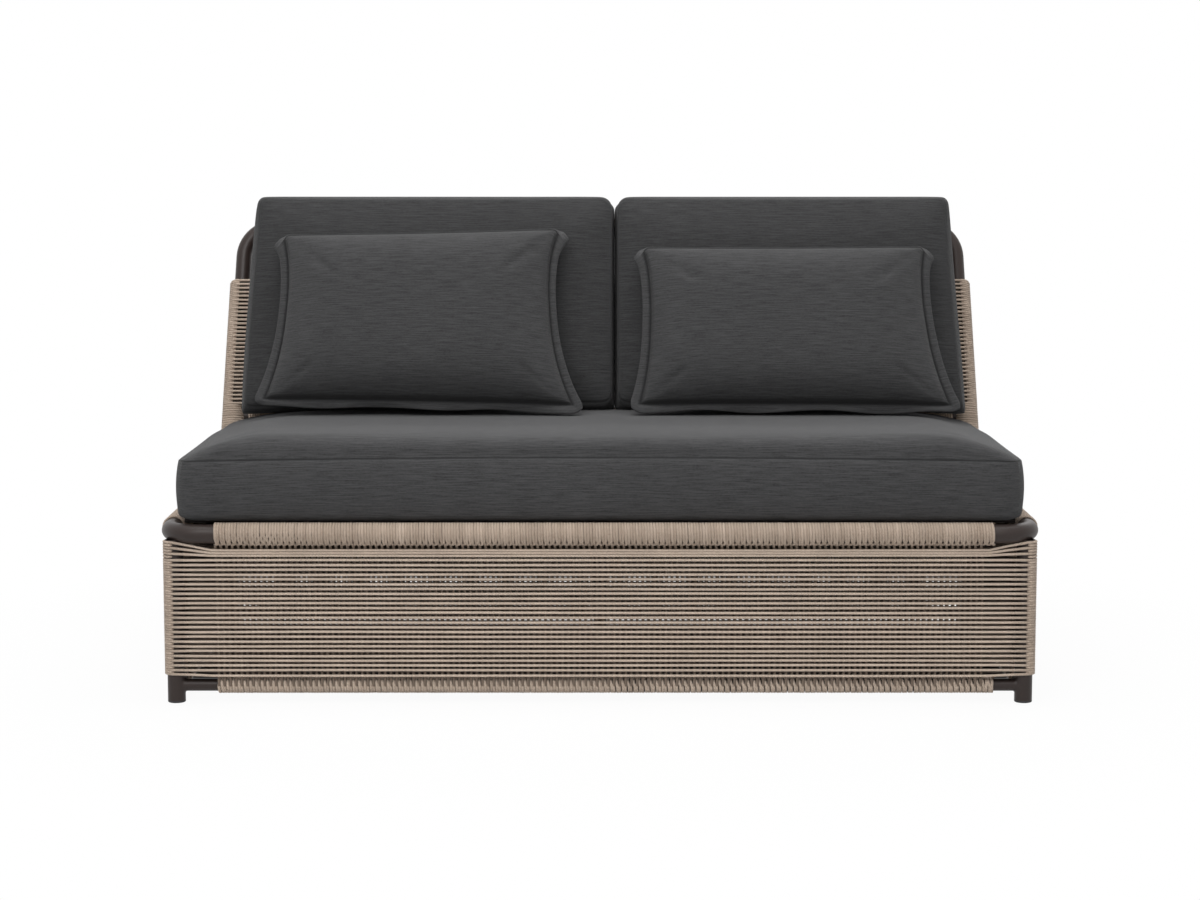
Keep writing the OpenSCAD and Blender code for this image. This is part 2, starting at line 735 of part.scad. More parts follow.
back_cushion(cushion_gap_x + cushion_gap / 2, cushion_gap_x + cushion_gap / 2 + right_cushion_w);  // right_back_cushion
pillow(left_pillow_x, left_pillow_h);  // left_pillow
pillow(right_pillow_x, right_pillow_h);  // right_pillow
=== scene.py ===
import math

import bpy
import numpy as np
from mathutils import Matrix, Vector


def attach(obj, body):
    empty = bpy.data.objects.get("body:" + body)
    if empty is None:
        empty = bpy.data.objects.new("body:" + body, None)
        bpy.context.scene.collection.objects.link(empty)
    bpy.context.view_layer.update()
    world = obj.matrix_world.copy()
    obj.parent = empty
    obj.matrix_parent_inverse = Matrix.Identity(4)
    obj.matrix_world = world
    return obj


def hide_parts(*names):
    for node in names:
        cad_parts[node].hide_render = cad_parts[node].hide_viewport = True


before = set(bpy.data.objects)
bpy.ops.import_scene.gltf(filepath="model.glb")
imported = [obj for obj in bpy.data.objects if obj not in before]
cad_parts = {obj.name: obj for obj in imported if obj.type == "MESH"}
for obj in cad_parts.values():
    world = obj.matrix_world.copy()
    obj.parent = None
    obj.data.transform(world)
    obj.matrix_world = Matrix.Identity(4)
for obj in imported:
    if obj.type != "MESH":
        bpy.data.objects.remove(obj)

scene = bpy.context.scene
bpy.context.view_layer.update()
print("stage: frame loaded,", len(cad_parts), "nodes")


def between(first, second, share):
    return first + (second - first) * share


def addObject(name, data):
    thing = bpy.data.objects.new(name, data)
    scene.collection.objects.link(thing)
    return thing


def newMesh(name, points, faces):
    mesh = bpy.data.meshes.new(name)
    mesh.from_pydata(points, [], faces)
    mesh.polygons.foreach_set("use_smooth", np.ones(len(mesh.polygons), bool))
    return mesh


# camera: the photograph's view, square to the front and a little from above
cameraSettings = {"place": (0.0, -5.261, 1.0260), "tilt": 6.7, "lens": 81.9, "sensor": 36.0}


def addCamera(settings):
    data = bpy.data.cameras.new("photoCamera")
    data.lens, data.sensor_width = settings["lens"], settings["sensor"]
    camera = addObject("photoCamera", data)
    camera.location = settings["place"]
    camera.rotation_euler = (math.radians(90 - settings["tilt"]), 0, 0)
    scene.camera = camera


addCamera(cameraSettings)

# lights: one broad lamp overhead, a soft one in front, a weak one behind, and an even white surround
lightSettings = {
    "over": {"place": (0.0, -0.25, 3.1), "aim": (0.0, -0.15, 0.3), "size": (3.4, 1.6), "power": 72},
    "front": {"place": (-0.7, -3.6, 3.0), "aim": (0.0, 0.0, 0.3), "size": (3.0, 1.4), "power": 78},
    "rim": {"place": (1.2, 3.6, 2.8), "aim": (0.0, 0.2, 0.4), "size": (3.0, 2.0), "power": 30},
}
worldStrength = 0.29


def addAreaLight(name, values):
    data = bpy.data.lights.new(name, "AREA")
    data.shape = "RECTANGLE"
    data.size, data.size_y = values["size"]
    data.energy = values["power"]
    lamp = addObject(name, data)
    lamp.location = values["place"]
    way = Vector(values["aim"]) - Vector(values["place"])
    lamp.rotation_euler = way.to_track_quat("-Z", "Y").to_euler()


for lampName, lampValues in lightSettings.items():
    addAreaLight(lampName + "Lamp", lampValues)


# node helpers. An input takes a number, a colour or a vector as it is, and another node's output as a link
def feed(tree, node, values):
    for key, value in values.items():
        socket = node.inputs[key]
        if isinstance(value, (int, float)):
            socket.default_value = value
        elif isinstance(value, tuple):
            socket.default_value = (*value, 1.0) if socket.type == "RGBA" else value
        else:
            tree.links.new(value, socket)


def newNode(tree, kind, values=None):
    node = tree.nodes.new("ShaderNode" + kind)
    feed(tree, node, values or {})
    return node


def mathNode(tree, operation, *values, clamp=False):
    node = newNode(tree, "Math", dict(enumerate(values)))
    node.operation, node.use_clamp = operation, clamp
    return node.outputs[0]


def times(tree, first, second):
    return mathNode(tree, "MULTIPLY", first, second)


def plus(tree, first, second):
    return mathNode(tree, "ADD", first, second)


def mapRange(tree, value, low, high, toLow=0.0, toHigh=1.0):
    return newNode(tree, "MapRange", {"Value": value, "From Min": low, "From Max": high,
                                      "To Min": toLow, "To Max": toHigh}).outputs["Result"]


def noise(tree, vector, scale, detail, roughness):
    return newNode(tree, "TexNoise", {"Vector": vector, "Scale": scale, "Detail": detail,
                                      "Roughness": roughness}).outputs["Fac"]


def split(tree, vector):
    return newNode(tree, "SeparateXYZ", {0: vector}).outputs


# what is painted on the points of a mesh under this name
def painted(tree, name):
    node = newNode(tree, "Attribute")
    node.attribute_name = name
    return node.outputs["Fac"]


def mixColour(tree, factor, first, second):
    node = newNode(tree, "Mix")
    node.data_type = "RGBA"
    feed(tree, node, {0: factor, 6: first, 7: second})
    return node.outputs[2]


def tint(tree, mask, share, first, second):
    return mixColour(tree, times(tree, mask, share), first, second)


# a group with one vector input, number inputs with these defaults, and number outputs
def newGroup(name, vector, numbers, outputs):
    tree = bpy.data.node_groups.new(name, "ShaderNodeTree")
    tree.interface.new_socket(vector, in_out="INPUT", socket_type="NodeSocketVector")
    for label, value in numbers.items():
        tree.interface.new_socket(label, in_out="INPUT", socket_type="NodeSocketFloat").default_value = value
    for label in outputs:
        tree.interface.new_socket(label, in_out="OUTPUT", socket_type="NodeSocketFloat")
    return tree, tree.nodes.new("NodeGroupInput").outputs, tree.nodes.new("NodeGroupOutput")


def placeGroup(tree, group, values):
    node = newNode(tree, "Group")
    node.node_tree = group
    feed(tree, node, values)
    return node.outputs


def newMaterial(name):
    material = bpy.data.materials.new(name)
    material.use_nodes = True
    tree = material.node_tree
    return material, tree, tree.nodes["Principled BSDF"], newNode(tree, "TexCoord").outputs


def bumpInto(tree, shader, height, distance, strength):
    bump = newNode(tree, "Bump", {"Distance": distance, "Strength": strength, "Height": height})
    feed(tree, shader, {"Normal": bump.outputs["Normal"]})


# 1 for what the camera sees, itself or by reflection or through glass
def seenByCamera(tree):
    path = newNode(tree, "LightPath").outputs
    return mathNode(tree, "ADD", path["Is Camera Ray"],
                    plus(tree, path["Is Glossy Ray"], path["Is Transmission Ray"]), clamp=True)


# one braided rope: crossing bundles, from the length in rope diameters and the turn from 0 to 1, and a mask of the
# crevices between them, where the rope is painted darker, as painted shade
def makeBraidGroup():
    tree, given, out = newGroup("ropeBraid", "Rope", {"Bundles": 5.0, "Lay": 1.1}, ("Height", "CreviceShade"))
    parts = split(tree, given["Rope"])
    along = times(tree, times(tree, parts[0], given["Lay"]), math.tau)
    around = times(tree, times(tree, parts[1], given["Bundles"]), math.tau)
    crossing = [mathNode(tree, "SINE", mathNode(tree, way, around, along)) for way in ("ADD", "SUBTRACT")]
    top = mathNode(tree, "MAXIMUM", *crossing)
    feed(tree, out, {"Height": mathNode(tree, "MULTIPLY_ADD", top, 0.5, 0.5),
                     "CreviceShade": mapRange(tree, top, -0.6, 0.35, 1.0, 0.0)})
    return tree


# woven cloth: fine threads both ways, and longer slubs along the first. Each patch is (scale, detail, roughness)
weaveSettings = {
    "drift": ((20, 60, 20), 2, 0.55), "slubs": ((20, 430, 20), 5, 0.72), "mottle": ((170, 330, 170), 4, 0.7),
    "driftReach": 0.0012, "threadHeight": 0.35, "slubsBetween": (0.37, 0.63), "mottleBetween": (0.3, 0.7),
}


def makeWeaveGroup(settings):
    tree, given, out = newGroup("slubWeave", "Cloth", {"Thread": 0.0011, "Slub": 1.0}, ("Height", "Slubs", "Mottle"))
    parts = split(tree, given["Cloth"])

    def patches(scale, detail, roughness):
        stretched = newNode(tree, "Mapping", {"Vector": given["Cloth"], "Scale": scale}).outputs["Vector"]
        return noise(tree, stretched, 1.0, detail, roughness)

    def threads(place):
        return mathNode(tree, "SINE", times(tree, mathNode(tree, "DIVIDE", place, given["Thread"]), math.tau))

    drift, slubs, mottle = (patches(*settings[key]) for key in ("drift", "slubs", "mottle"))
    weft = threads(plus(tree, parts[1], times(tree, drift, settings["driftReach"])))
    thread = times(tree, mathNode(tree, "MAXIMUM", weft, threads(parts[0])), settings["threadHeight"])
    feed(tree, out, {"Height": plus(tree, thread, times(tree, slubs, given["Slub"])),
                     "Slubs": mapRange(tree, slubs, *settings["slubsBetween"]),
                     "Mottle": mapRange(tree, mottle, *settings["mottleBetween"])})
    return tree


# broad, soft changes of tone, and a fine speckle
def makeVariationGroup():
    tree, given, out = newGroup("softVariation", "Place", {"Broad Scale": 4.0, "Fine Scale": 300.0}, ("Broad", "Fine"))
    for label, roughness in (("Broad", 0.5), ("Fine", 0.6)):
        patches = noise(tree, given["Place"], given[label + " Scale"], 3, roughness)
        feed(tree, out, {label: mapRange(tree, patches, 0.3, 0.7)})
    return tree


braidGroup = makeBraidGroup()
weaveGroup = makeWeaveGroup(weaveSettings)
variationGroup = makeVariationGroup()


def variation(tree, coords, broad, fine):
    return placeGroup(tree, variationGroup, {"Broad Scale": broad, "Fine Scale": fine, "Place": coords["Object"]})


# dark brown powder coat with a soft sheen and a fine orange peel. Relief is (distance, strength) in every finish
coatFinish = {
    "scales": (5.0, 850.0), "worn": 0.55, "speckled": 0.35, "spread": (-0.04, 0.08), "relief": (0.00012, 0.6),
    "gloss": {"Specular IOR Level": 0.27, "Coat Weight": 0.04, "Coat Roughness": 0.3},
}


def makePowderCoat(name, base, light, roughness, finish):
    material, tree, shader, coords = newMaterial(name)
    vary = variation(tree, coords, *finish["scales"])
    worn = tint(tree, vary["Broad"], finish["worn"], base, light)
    speckled = tint(tree, vary["Fine"], finish["speckled"], worn, light)
    rough = mapRange(tree, vary["Broad"], 0.0, 1.0, *(roughness + part for part in finish["spread"]))
    feed(tree, shader, {"Base Color": speckled, "Roughness": rough, **finish["gloss"]})
    bumpInto(tree, shader, vary["Fine"], *finish["relief"])
    return material


# braided outdoor rope: taupe yarn with paler fibres. A tone over 0 makes it paler and one under 0 darker. The tones
# are partly random, and partly painted light and painted shade
ropeFinish = {
    "taupe": (0.40, 0.303, 0.229), "pale": (0.90, 0.74, 0.605), "deep": (0.07, 0.049, 0.036),
    "scales": (16.0, 420.0), "fibres": 0.45, "toned": 0.5, "broad": 0.15, "creviceShade": 0.55, "fuzz": 0.3,
    "relief": (0.0006, 0.8), "braid": {"Bundles": 5.0, "Lay": 0.95},
    "gloss": {"Roughness": 0.75, "Sheen Weight": 0.12, "Sheen Roughness": 0.5},
}


def makeRope(name, finish):
    material, tree, shader, coords = newMaterial(name)
    braid = placeGroup(tree, braidGroup, {"Rope": coords["UV"], **finish["braid"]})
    vary = variation(tree, coords, *finish["scales"])
    tone = painted(tree, "tone")
    paleness = plus(tree, times(tree, vary["Fine"], finish["fibres"]), times(tree, tone, finish["toned"]))
    yarn = mixColour(tree, paleness, finish["taupe"], finish["pale"])
    # painted shade: the yarn goes towards the deep colour where the painted tone is under 0
    inner = mixColour(tree, mathNode(tree, "MULTIPLY", tone, -1.0, clamp=True), yarn, finish["deep"])
    broad = tint(tree, vary["Broad"], finish["broad"], inner, finish["deep"])
    # painted shade in the braid's crevices
    shaded = tint(tree, braid["CreviceShade"], finish["creviceShade"], broad, finish["deep"])
    feed(tree, shader, {"Base Color": shaded, **finish["gloss"]})
    height = plus(tree, braid["Height"], times(tree, vary["Fine"], finish["fuzz"]))
    bumpInto(tree, shader, height, *finish["relief"])
    return material


# charcoal outdoor cloth. Its colours are scaled by a brightness for each cushion, as painted light and shade, and its
# seams are painted dark, as painted shade
clothFinish = {
    "dark": (0.026, 0.026, 0.0268), "light": (0.090, 0.090, 0.092), "fleck": (0.13, 0.13, 0.132),
    "seam": (0.012, 0.012, 0.0125), "scales": (3.0, 700.0), "slubs": 0.8, "mottle": 0.45, "flecks": 0.25,
    "fleckPower": 4.0, "faded": 0.16, "seamShadeShare": 0.8, "relief": (0.0007, 0.7), "weave": {"Thread": 0.0012, "Slub": 1.3},
    "gloss": {"Roughness": 0.88, "Specular IOR Level": 0.2, "Sheen Weight": 0.12, "Sheen Roughness": 0.45},
}


def makeCloth(name, paintedBrightness, finish):
    material, tree, shader, coords = newMaterial(name)
    dark, light, fleck = (tuple(part * paintedBrightness for part in finish[key]) for key in ("dark", "light", "fleck"))
    weave = placeGroup(tree, weaveGroup, {"Cloth": coords["UV"], **finish["weave"]})
    vary = variation(tree, coords, *finish["scales"])
    slubbed = tint(tree, weave["Slubs"], finish["slubs"], dark, light)
    mottled = tint(tree, weave["Mottle"], finish["mottle"], slubbed, light)
    flecks = mathNode(tree, "POWER", vary["Fine"], finish["fleckPower"])
    flecked = tint(tree, flecks, finish["flecks"], mottled, fleck)
    faded = tint(tree, vary["Broad"], finish["faded"], flecked, dark)
    # painted shade along the seams, where the seam mark is painted on the mesh
    seamShaded = tint(tree, painted(tree, "seam"), finish["seamShadeShare"], faded, finish["seam"])
    feed(tree, shader, {"Base Color": seamShaded, **finish["gloss"]})
    bumpInto(tree, shader, weave["Height"], *finish["relief"])
    return material


# black plastic of the glides
glideFinish = {
    "base": (0.016, 0.016, 0.017), "light": (0.03, 0.03, 0.031), "scales": (30.0, 900.0),
    "roughness": (0.5, 0.68), "relief": (0.0001, 0.5),
}


def makePlastic(name, finish):
    material, tree, shader, coords = newMaterial(name)
    vary = variation(tree, coords, *finish["scales"])
    feed(tree, shader, {"Base Color": mixColour(tree, vary["Broad"], finish["base"], finish["light"]),
                        "Roughness": mapRange(tree, vary["Fine"], 0.0, 1.0, *finish["roughness"])})
    bumpInto(tree, shader, vary["Fine"], *finish["relief"])
    return material


powderCoat = makePowderCoat("brownPowderCoat", (0.030, 0.021, 0.0185), (0.047, 0.034, 0.030), 0.40, coatFinish)
deckCoat = makePowderCoat("deckPowderCoat", (0.028, 0.022, 0.02), (0.043, 0.034, 0.031), 0.55, coatFinish)
taupeRope = makeRope("taupeRope", ropeFinish)
# one cloth in three copies, lighter on the seat and darker on the back cushions and pillows, as painted light and
# shade
seatCloth = makeCloth("seatCloth", 1.08, clothFinish)
backCloth = makeCloth("backCloth", 0.68, clothFinish)
pillowCloth = makeCloth("pillowCloth", 0.86, clothFinish)
glidePlastic = makePlastic("glidePlastic", glideFinish)

for nodeName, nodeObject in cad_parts.items():
    if nodeName.startswith("glide"):
        finish = glidePlastic
    elif nodeName.startswith(("bearer", "slat", "centre_leg")):
        finish = deckCoat
    else:
        finish = powderCoat
    nodeObject.data.materials.clear()
    nodeObject.data.materials.append(finish)
print("stage: materials made")

# the white room: the floor is pale and keeps the shadow, is painted dark under the sofa as a painted shadow, and is
# white beyond, for the camera
stageSettings = {
    "size": 14.0, "paint": (0.8, 0.8, 0.8), "bounce": (0.62, 0.62, 0.62), "shade": (0.05, 0.046, 0.043),
    "glow": 0.95, "shadeHalf": (0.80, 0.36), "shadeShift": (0.0, 0.07), "shadeSoft": (0.035, 0.09),
    "whiteFrom": 0.9, "whiteAt": 1.5,
}


# 1 inside the sofa's footprint, where the floor is painted dark as a painted shadow, falling to 0 over a soft edge
def paintedShadowMask(tree, place, settings):
    sides = []
    for output, half, shift, soft in zip(split(tree, place), settings["shadeHalf"], settings["shadeShift"],
                                         settings["shadeSoft"]):
        away = mathNode(tree, "ABSOLUTE", mathNode(tree, "SUBTRACT", output, shift))
        sides.append(mapRange(tree, away, half, half - soft))
    return times(tree, *sides)


def makeStage(settings):
    half = settings["size"] / 2
    mesh = newMesh("studioFloor", [(-half, -half, 0), (half, -half, 0), (half, half, 0), (-half, half, 0)],
                   [(0, 1, 2, 3)])
    material, tree, shader, coords = newMaterial("studioPaint")
    below = paintedShadowMask(tree, coords["Object"], settings)
    seen = seenByCamera(tree)
    paint = mixColour(tree, seen, settings["bounce"], settings["paint"])
    # the floor under the sofa takes the shade colour, as a painted shadow
    feed(tree, shader, {"Base Color": mixColour(tree, below, paint, settings["shade"]), "Roughness": 1.0,
                        "Specular IOR Level": 0.0})
    away = newNode(tree, "VectorMath", {0: coords["Object"]})
    away.operation = "LENGTH"
    glowing = mapRange(tree, away.outputs["Value"], settings["whiteFrom"], settings["whiteAt"], settings["glow"], 1.0)
    lit = times(tree, glowing, mathNode(tree, "SUBTRACT", 1.0, below))
    glow = newNode(tree, "Emission", {"Color": (1, 1, 1)})
    mixed = newNode(tree, "MixShader", {0: times(tree, seen, lit), 1: shader.outputs[0], 2: glow.outputs[0]})
    feed(tree, tree.nodes["Material Output"], {"Surface": mixed.outputs[0]})
    mesh.materials.append(material)
    addObject("studioFloor", mesh)


def makeWorld(strength):
    world = bpy.data.worlds.new("studioSurround")
    world.use_nodes = True
    scene.world = world
    tree = world.node_tree
    feed(tree, tree.nodes["Background"], {
        "Color": (1, 1, 1), "Strength": mapRange(tree, seenByCamera(tree), 0.0, 1.0, strength, 1.0)})


makeStage(stageSettings)
makeWorld(worldStrength)
scene.view_settings.view_transform = "Standard"
print("stage: room and lights set")

# the tubes that carry the rope, in metres, as the frame has them
tubes = {
    "frontY": -0.438346, "rearY": 0.341654, "sideX": 0.774, "railZ": 0.3085, "railR": 0.017,
    "postX": 0.7635, "postInset": 0.019, "sideInset": 0.0105, "postR": 0.016, "lowR": 0.011, "lowZ": 0.031,
    "railWrap": (-0.6902, 0.7062), "lowWrap": (-0.6902, 0.7118), "sideHalf": 0.309,
    "bearers": (-0.6915, -0.34575, 0.0, 0.34575, 0.6915), "bearerHalf": 0.015,
    "lean": 15.0, "taper": 2.35, "footX": 0.759, "footY": 0.301654, "backH": 0.532, "backR": 0.016,
    "lowH": 0.135, "lowBackR": 0.014, "backHalf": 0.6597,
}
# d is the rope's width, turn and strand are its pitch in a winding and between strands, and pressed is how thick it is
# on a tube. Tones are what the rope's finish reads: any is a random tone, rows and sideRows are pale as painted light,
# and behind and inner are dark as painted shade on the ropes behind the rows and inside the panels
ropeSize = {"d": 0.0048, "turn": 0.00515, "strand": 0.0103, "sides": 8, "pressed": 0.0041}
ropeTones = {"any": (0.15, 0.6), "rows": (0.95, 1.35), "sideRows": (0.5, 1.0), "behind": -0.5, "inner": -0.85}
ropeRandom = np.random.default_rng(7)


# slow random drift along a path, as a rope laid by hand has
def wander(count, amount, knots):
    return np.interp(np.linspace(0, knots - 1, count), np.arange(knots), ropeRandom.normal(0, amount, knots))


# one rope along a path, as (points, faces, rope coordinates, tones). Where inward is given, the rope is painted dark,
# as painted shade, on the side along Y, -1 or 1 for each point of the path, that faces into the panel
def ropeAlong(path, upright, closed=False, flat=(1.0, 1.0), tone=None, inward=None):
    path = np.asarray(path, float)
    count, sides = len(path), ropeSize["sides"]
    radius = ropeSize["d"] / 2
    if closed:
        tangent = np.roll(path, -1, 0) - np.roll(path, 1, 0)
    else:
        tangent = np.vstack([path[1:], path[-1:]]) - np.vstack([path[:1], path[:-1]])
    tangent /= np.linalg.norm(tangent, axis=1)[:, None]
    side = np.cross(tangent, np.asarray(upright, float))
    side /= np.linalg.norm(side, axis=1)[:, None]
    other = np.cross(side, tangent)
    turn = np.arange(sides) / sides * math.tau
    points = path[:, None, :] + radius * (
        flat[0] * np.cos(turn)[None, :, None] * side[:, None, :]
        + flat[1] * np.sin(turn)[None, :, None] * other[:, None, :])
    steps = count if closed else count - 1
    i = np.repeat(np.arange(steps), sides)
    j = np.tile(np.arange(sides), steps)
    nextI, nextJ = (i + 1) % count, (j + 1) % sides
    faces = np.stack([i * sides + j, i * sides + nextJ, nextI * sides + nextJ, nextI * sides + j], 1)
    length = np.concatenate([[0], np.cumsum(np.linalg.norm(np.diff(path, axis=0), axis=1))])
    length = np.append(length, length[-1] + np.linalg.norm(path[0] - path[-1])) / (2 * radius)
    u0, u1, v0, v1 = length[i], length[i + 1], j / sides, (j + 1) / sides
    coords = np.stack([np.stack(pair, 1) for pair in ((u0, v0), (u0, v1), (u1, v1), (u1, v0))], 1)
    tone = ropeRandom.uniform(*ropeTones["any"]) if tone is None else tone
    tones = np.full(count * sides, tone) if np.isscalar(tone) else np.repeat(tone, sides)
    if inward is not None:
        # painted shade on the side of the rope that faces into the panel
        inwardShade = ((points - path[:, None, :])[:, :, 1] / radius * np.asarray(inward)[:, None]).ravel()
        tones = between(tones, ropeTones["inner"], np.clip(inwardShade * 3 + 0.4, 0, 1))
    return points.reshape(-1, 3), faces, coords.reshape(-1, 2), tones


def addToFrame(name, mesh, material, slotName, *nodes):
    mesh.materials.append(material)
    mesh.update()
    piece = addObject(name, mesh)
    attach(piece, "frame")
    if nodes:
        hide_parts(*nodes)


# one piece from many ropes, in place of a node
def addRopes(name, ropes, place, node):
    starts = np.cumsum([0] + [len(rope[0]) for rope in ropes])
    points, faces, coords, tones = (np.concatenate(parts) for parts in zip(*(
        (rope[0], rope[1] + start, rope[2], rope[3]) for rope, start in zip(ropes, starts))))
    turn = np.array(place)
    points = points @ turn[:3, :3].T + turn[:3, 3]
    mesh = newMesh(name, points.tolist(), faces.tolist())
    mesh.uv_layers.new(name="rope").data.foreach_set("uv", coords.ravel().astype(np.float32))
    mesh.attributes.new("tone", "FLOAT", "POINT").data.foreach_set("value", tones.astype(np.float32))
    addToFrame(name, mesh, taupeRope, "rope", node)


windingSettings = {"depthDrift": 0.00012, "placeDrift": 0.00018, "partingEdge": 24, "partingDrift": 0.35,
                   "partingMost": 1.4, "toneDrift": 0.2, "widened": 1.1}


# turns of rope pressed flat round a tube that runs along X. A parting is (amount, angle, width, places):
# at that angle neighbours lean apart in pairs, as strongly as places, a list of (x, strength), gives
def windingAlongX(tubeR, low, high, centre, partings=(), paleness=0.22, steps=20):
    turn, thick, made = ropeSize["turn"], ropeSize["pressed"], windingSettings
    turns = (high - low - ropeSize["d"]) / turn
    count = int(turns * steps) + 1
    t = np.arange(count) / steps
    angle = t * math.tau
    radius = tubeR + thick / 2 + wander(count, made["depthDrift"], int(turns * 1.5) + 2)
    along = low + ropeSize["d"] / 2 + turn * t + wander(count, made["placeDrift"], int(turns * 2.5) + 2)
    for amount, partAngle, width, places in partings:
        away = np.abs((np.degrees(angle) - partAngle + 180) % 360 - 180)
        spread = np.clip((width - away) / made["partingEdge"], 0, 1)
        uneven = np.clip(1 + wander(count, made["partingDrift"], int(turns / 2) + 2), 0, made["partingMost"])
        spread *= np.interp(along, *zip(*places)) * uneven
        along = along + amount * spread * np.cos(math.pi * np.round(t + 0.5 - partAngle / 360))
    path = np.stack([along, centre[0] + radius * np.cos(angle), centre[1] + radius * np.sin(angle)], 1)
    tone = np.clip(paleness + wander(count, made["toneDrift"], int(turns) + 2), 0, 1)
    return ropeAlong(path, (1, 0, 0), flat=(thick / ropeSize["d"], made["widened"]), tone=tone)


def strandPlaces(half):
    pitch = ropeSize["strand"]
    steps = int((2 * half - pitch) / pitch)
    return [(i - steps / 2) * pitch for i in range(steps + 1)]


# topTone colours what is over topFrom, and slant is how far the part over slantFrom leans to one side
strandSettings = {"steps": 14, "acrossDrift": 0.00025, "depthDrift": 0.0003, "slant": -0.0042, "slantFrom": 0.88,
                  "topFrom": 0.93, "topTone": 0.4, "underRail": 0.0185, "intoRail": 0.01, "intoBack": 0.008}


# one strand from the rail below, at low, to the rail above, at high: both are (y, z)
def uprightStrand(place, low, high, slant=0.0, tones=(0.5, 0.5)):
    count, made = strandSettings["steps"], strandSettings
    share = np.linspace(0, 1, count)
    leaning = np.clip((share - made["slantFrom"]) / (1 - made["slantFrom"]), 0, 1)
    x = place + wander(count, made["acrossDrift"], 5) + slant * leaning
    y = between(low[0], high[0], share) + wander(count, made["depthDrift"], 5)
    z = between(low[1], high[1], share)
    return ropeAlong(np.stack([x, y, z], 1), (1, 0, 0), tone=np.where(share > made["topFrom"], tones[1], tones[0]))


# where the turns of the windings part, along X: under the seat rail all the way, on its face near the left end,
# and on the bottom rail mostly on the right
windingPartings = {
    "under": (0.0014, 244, 36, ((-0.8, 1.0), (0.0, 0.9), (0.1, 1.1), (0.8, 1.3))),
    "face": (0.0011, 190, 24, ((-0.67, 0.0), (-0.64, 1.0), (-0.54, 0.9), (-0.5, 0.25), (-0.4, 0.2), (-0.36, 0.0),
                               (0.5, 0.0), (0.55, 0.25), (0.68, 0.25), (0.7, 0.0))),
    "low": (0.0007, 172, 84, ((-0.7, 0.35), (0.0, 0.3), (0.06, 1.1), (0.71, 1.1))),
}


# windings and strands of one panel, drawn with its rails along X, its outer face to -Y
def uprightPanel(rails, lows, inset, bearers):
    d, made, inner = ropeSize["d"], strandSettings, ropeTones["inner"]
    rail, low = (0.0, tubes["railZ"]), (inset, tubes["lowZ"])
    # the bottom rail's winding is painted much paler than the seat rail's, as painted light
    ropes = [
        windingAlongX(tubes["railR"], *rails, rail, (windingPartings["under"], windingPartings["face"])),
        windingAlongX(tubes["lowR"], *lows, low, (windingPartings["low"],), paleness=1.0, steps=16),
    ]
    outY = inset - tubes["lowR"] - d / 2
    backLow, backHigh = inset + tubes["lowR"] + d / 2, tubes["railR"] + d / 2
    for place in strandPlaces(min(-rails[0], rails[1])):
        ends = (outY, tubes["lowZ"]), (outY, tubes["railZ"] - made["underRail"])
        # the strands behind the rows are painted dark below their tops, as painted shade
        ropes.append(uprightStrand(place, *ends, made["slant"], (ropeTones["behind"], made["topTone"])))
        if min(abs(place - x) for x in bearers) > tubes["bearerHalf"] + d:
            ends = (backLow, tubes["lowZ"]), (backHigh, tubes["railZ"] - made["intoRail"])
            # the strands of the inner layer are painted dark, as painted shade
            ropes.append(uprightStrand(place, *ends, tones=(inner, inner)))
    return ropes


# the heights of the top rows beside the posts, and in the band that they close up into between them. From open
# down to low the rows are even, and lowShift moves the lowest. rises are for the front and the rear
rowSettings = {
    "atPosts": (0.2926, 0.2829, 0.2726), "band": (0.2789, 0.2741, 0.2693), "open": 0.2610, "low": 0.0526,
    "count": 24, "lowShift": (0.0012, -0.0016), "rises": (0.0043, 0.0003), "bulgeDrift": 0.00035, "sagDrift": 0.00033,
    "fan": 0.075, "sagFan": 0.02, "riseFan": 0.03, "sideDrift": (0.0002, 0.0003), "tuck": 0.0042, "sideTuck": 0.0036,
}


def rowHeights(settings):
    low, count = settings["low"], settings["count"]
    pitch = (settings["open"] - low) / count
    rows = list(zip(settings["atPosts"], settings["band"]))
    rows += [(settings["open"] - i * pitch,) * 2 for i in range(count + 1)]
    rows[-1] = tuple(height + shift for height, shift in zip(rows[-1], settings["lowShift"]))
    return rows


# one row as a loop round both tubes, which stand at -reach and reach along X, in the plane of y = 0. Behind
# them the rope rises, as the next turn of one long winding does
def rowLoop(reach, atPost, inBand, radius, rise, made=rowSettings):
    straight = np.linspace(-reach, reach, 46)
    turn = np.radians(np.linspace(-90, 90, 13)[1:-1])
    bulge = wander(len(straight), made["bulgeDrift"], 9) * 0.6
    sides = [(straight, -radius + bulge), (reach + radius * np.cos(turn), radius * np.sin(turn)),
             (straight[::-1], radius + bulge[::-1]), (-reach - radius * np.cos(turn), -radius * np.sin(turn))]
    path = np.concatenate([np.stack([x, y, np.zeros_like(x)], 1) for x, y in sides])

    def fromPosts(fan):
        return np.clip((reach - np.abs(path[:, 0])) / fan, 0, 1)

    blend = fromPosts(made["fan"])
    blend = blend * blend * (3 - 2 * blend)
    sag = wander(len(path), made["sagDrift"], 16) * fromPosts(made["sagFan"])
    behind = (path[:, 1] > 0.6 * radius) * fromPosts(made["riseFan"])
    path[:, 2] = between(atPost, inBand, blend) + sag + rise * behind
    # painted light and shade: the row's pale tone stands for light, and the side that faces into the panel is painted
    # dark
    inward = np.where(path[:, 1] > 0, -1.0, 1.0) * (np.abs(path[:, 0]) < reach)
    return ropeAlong(path, (0, 0, 1), closed=True, tone=ropeRandom.uniform(*ropeTones["rows"]), inward=inward)


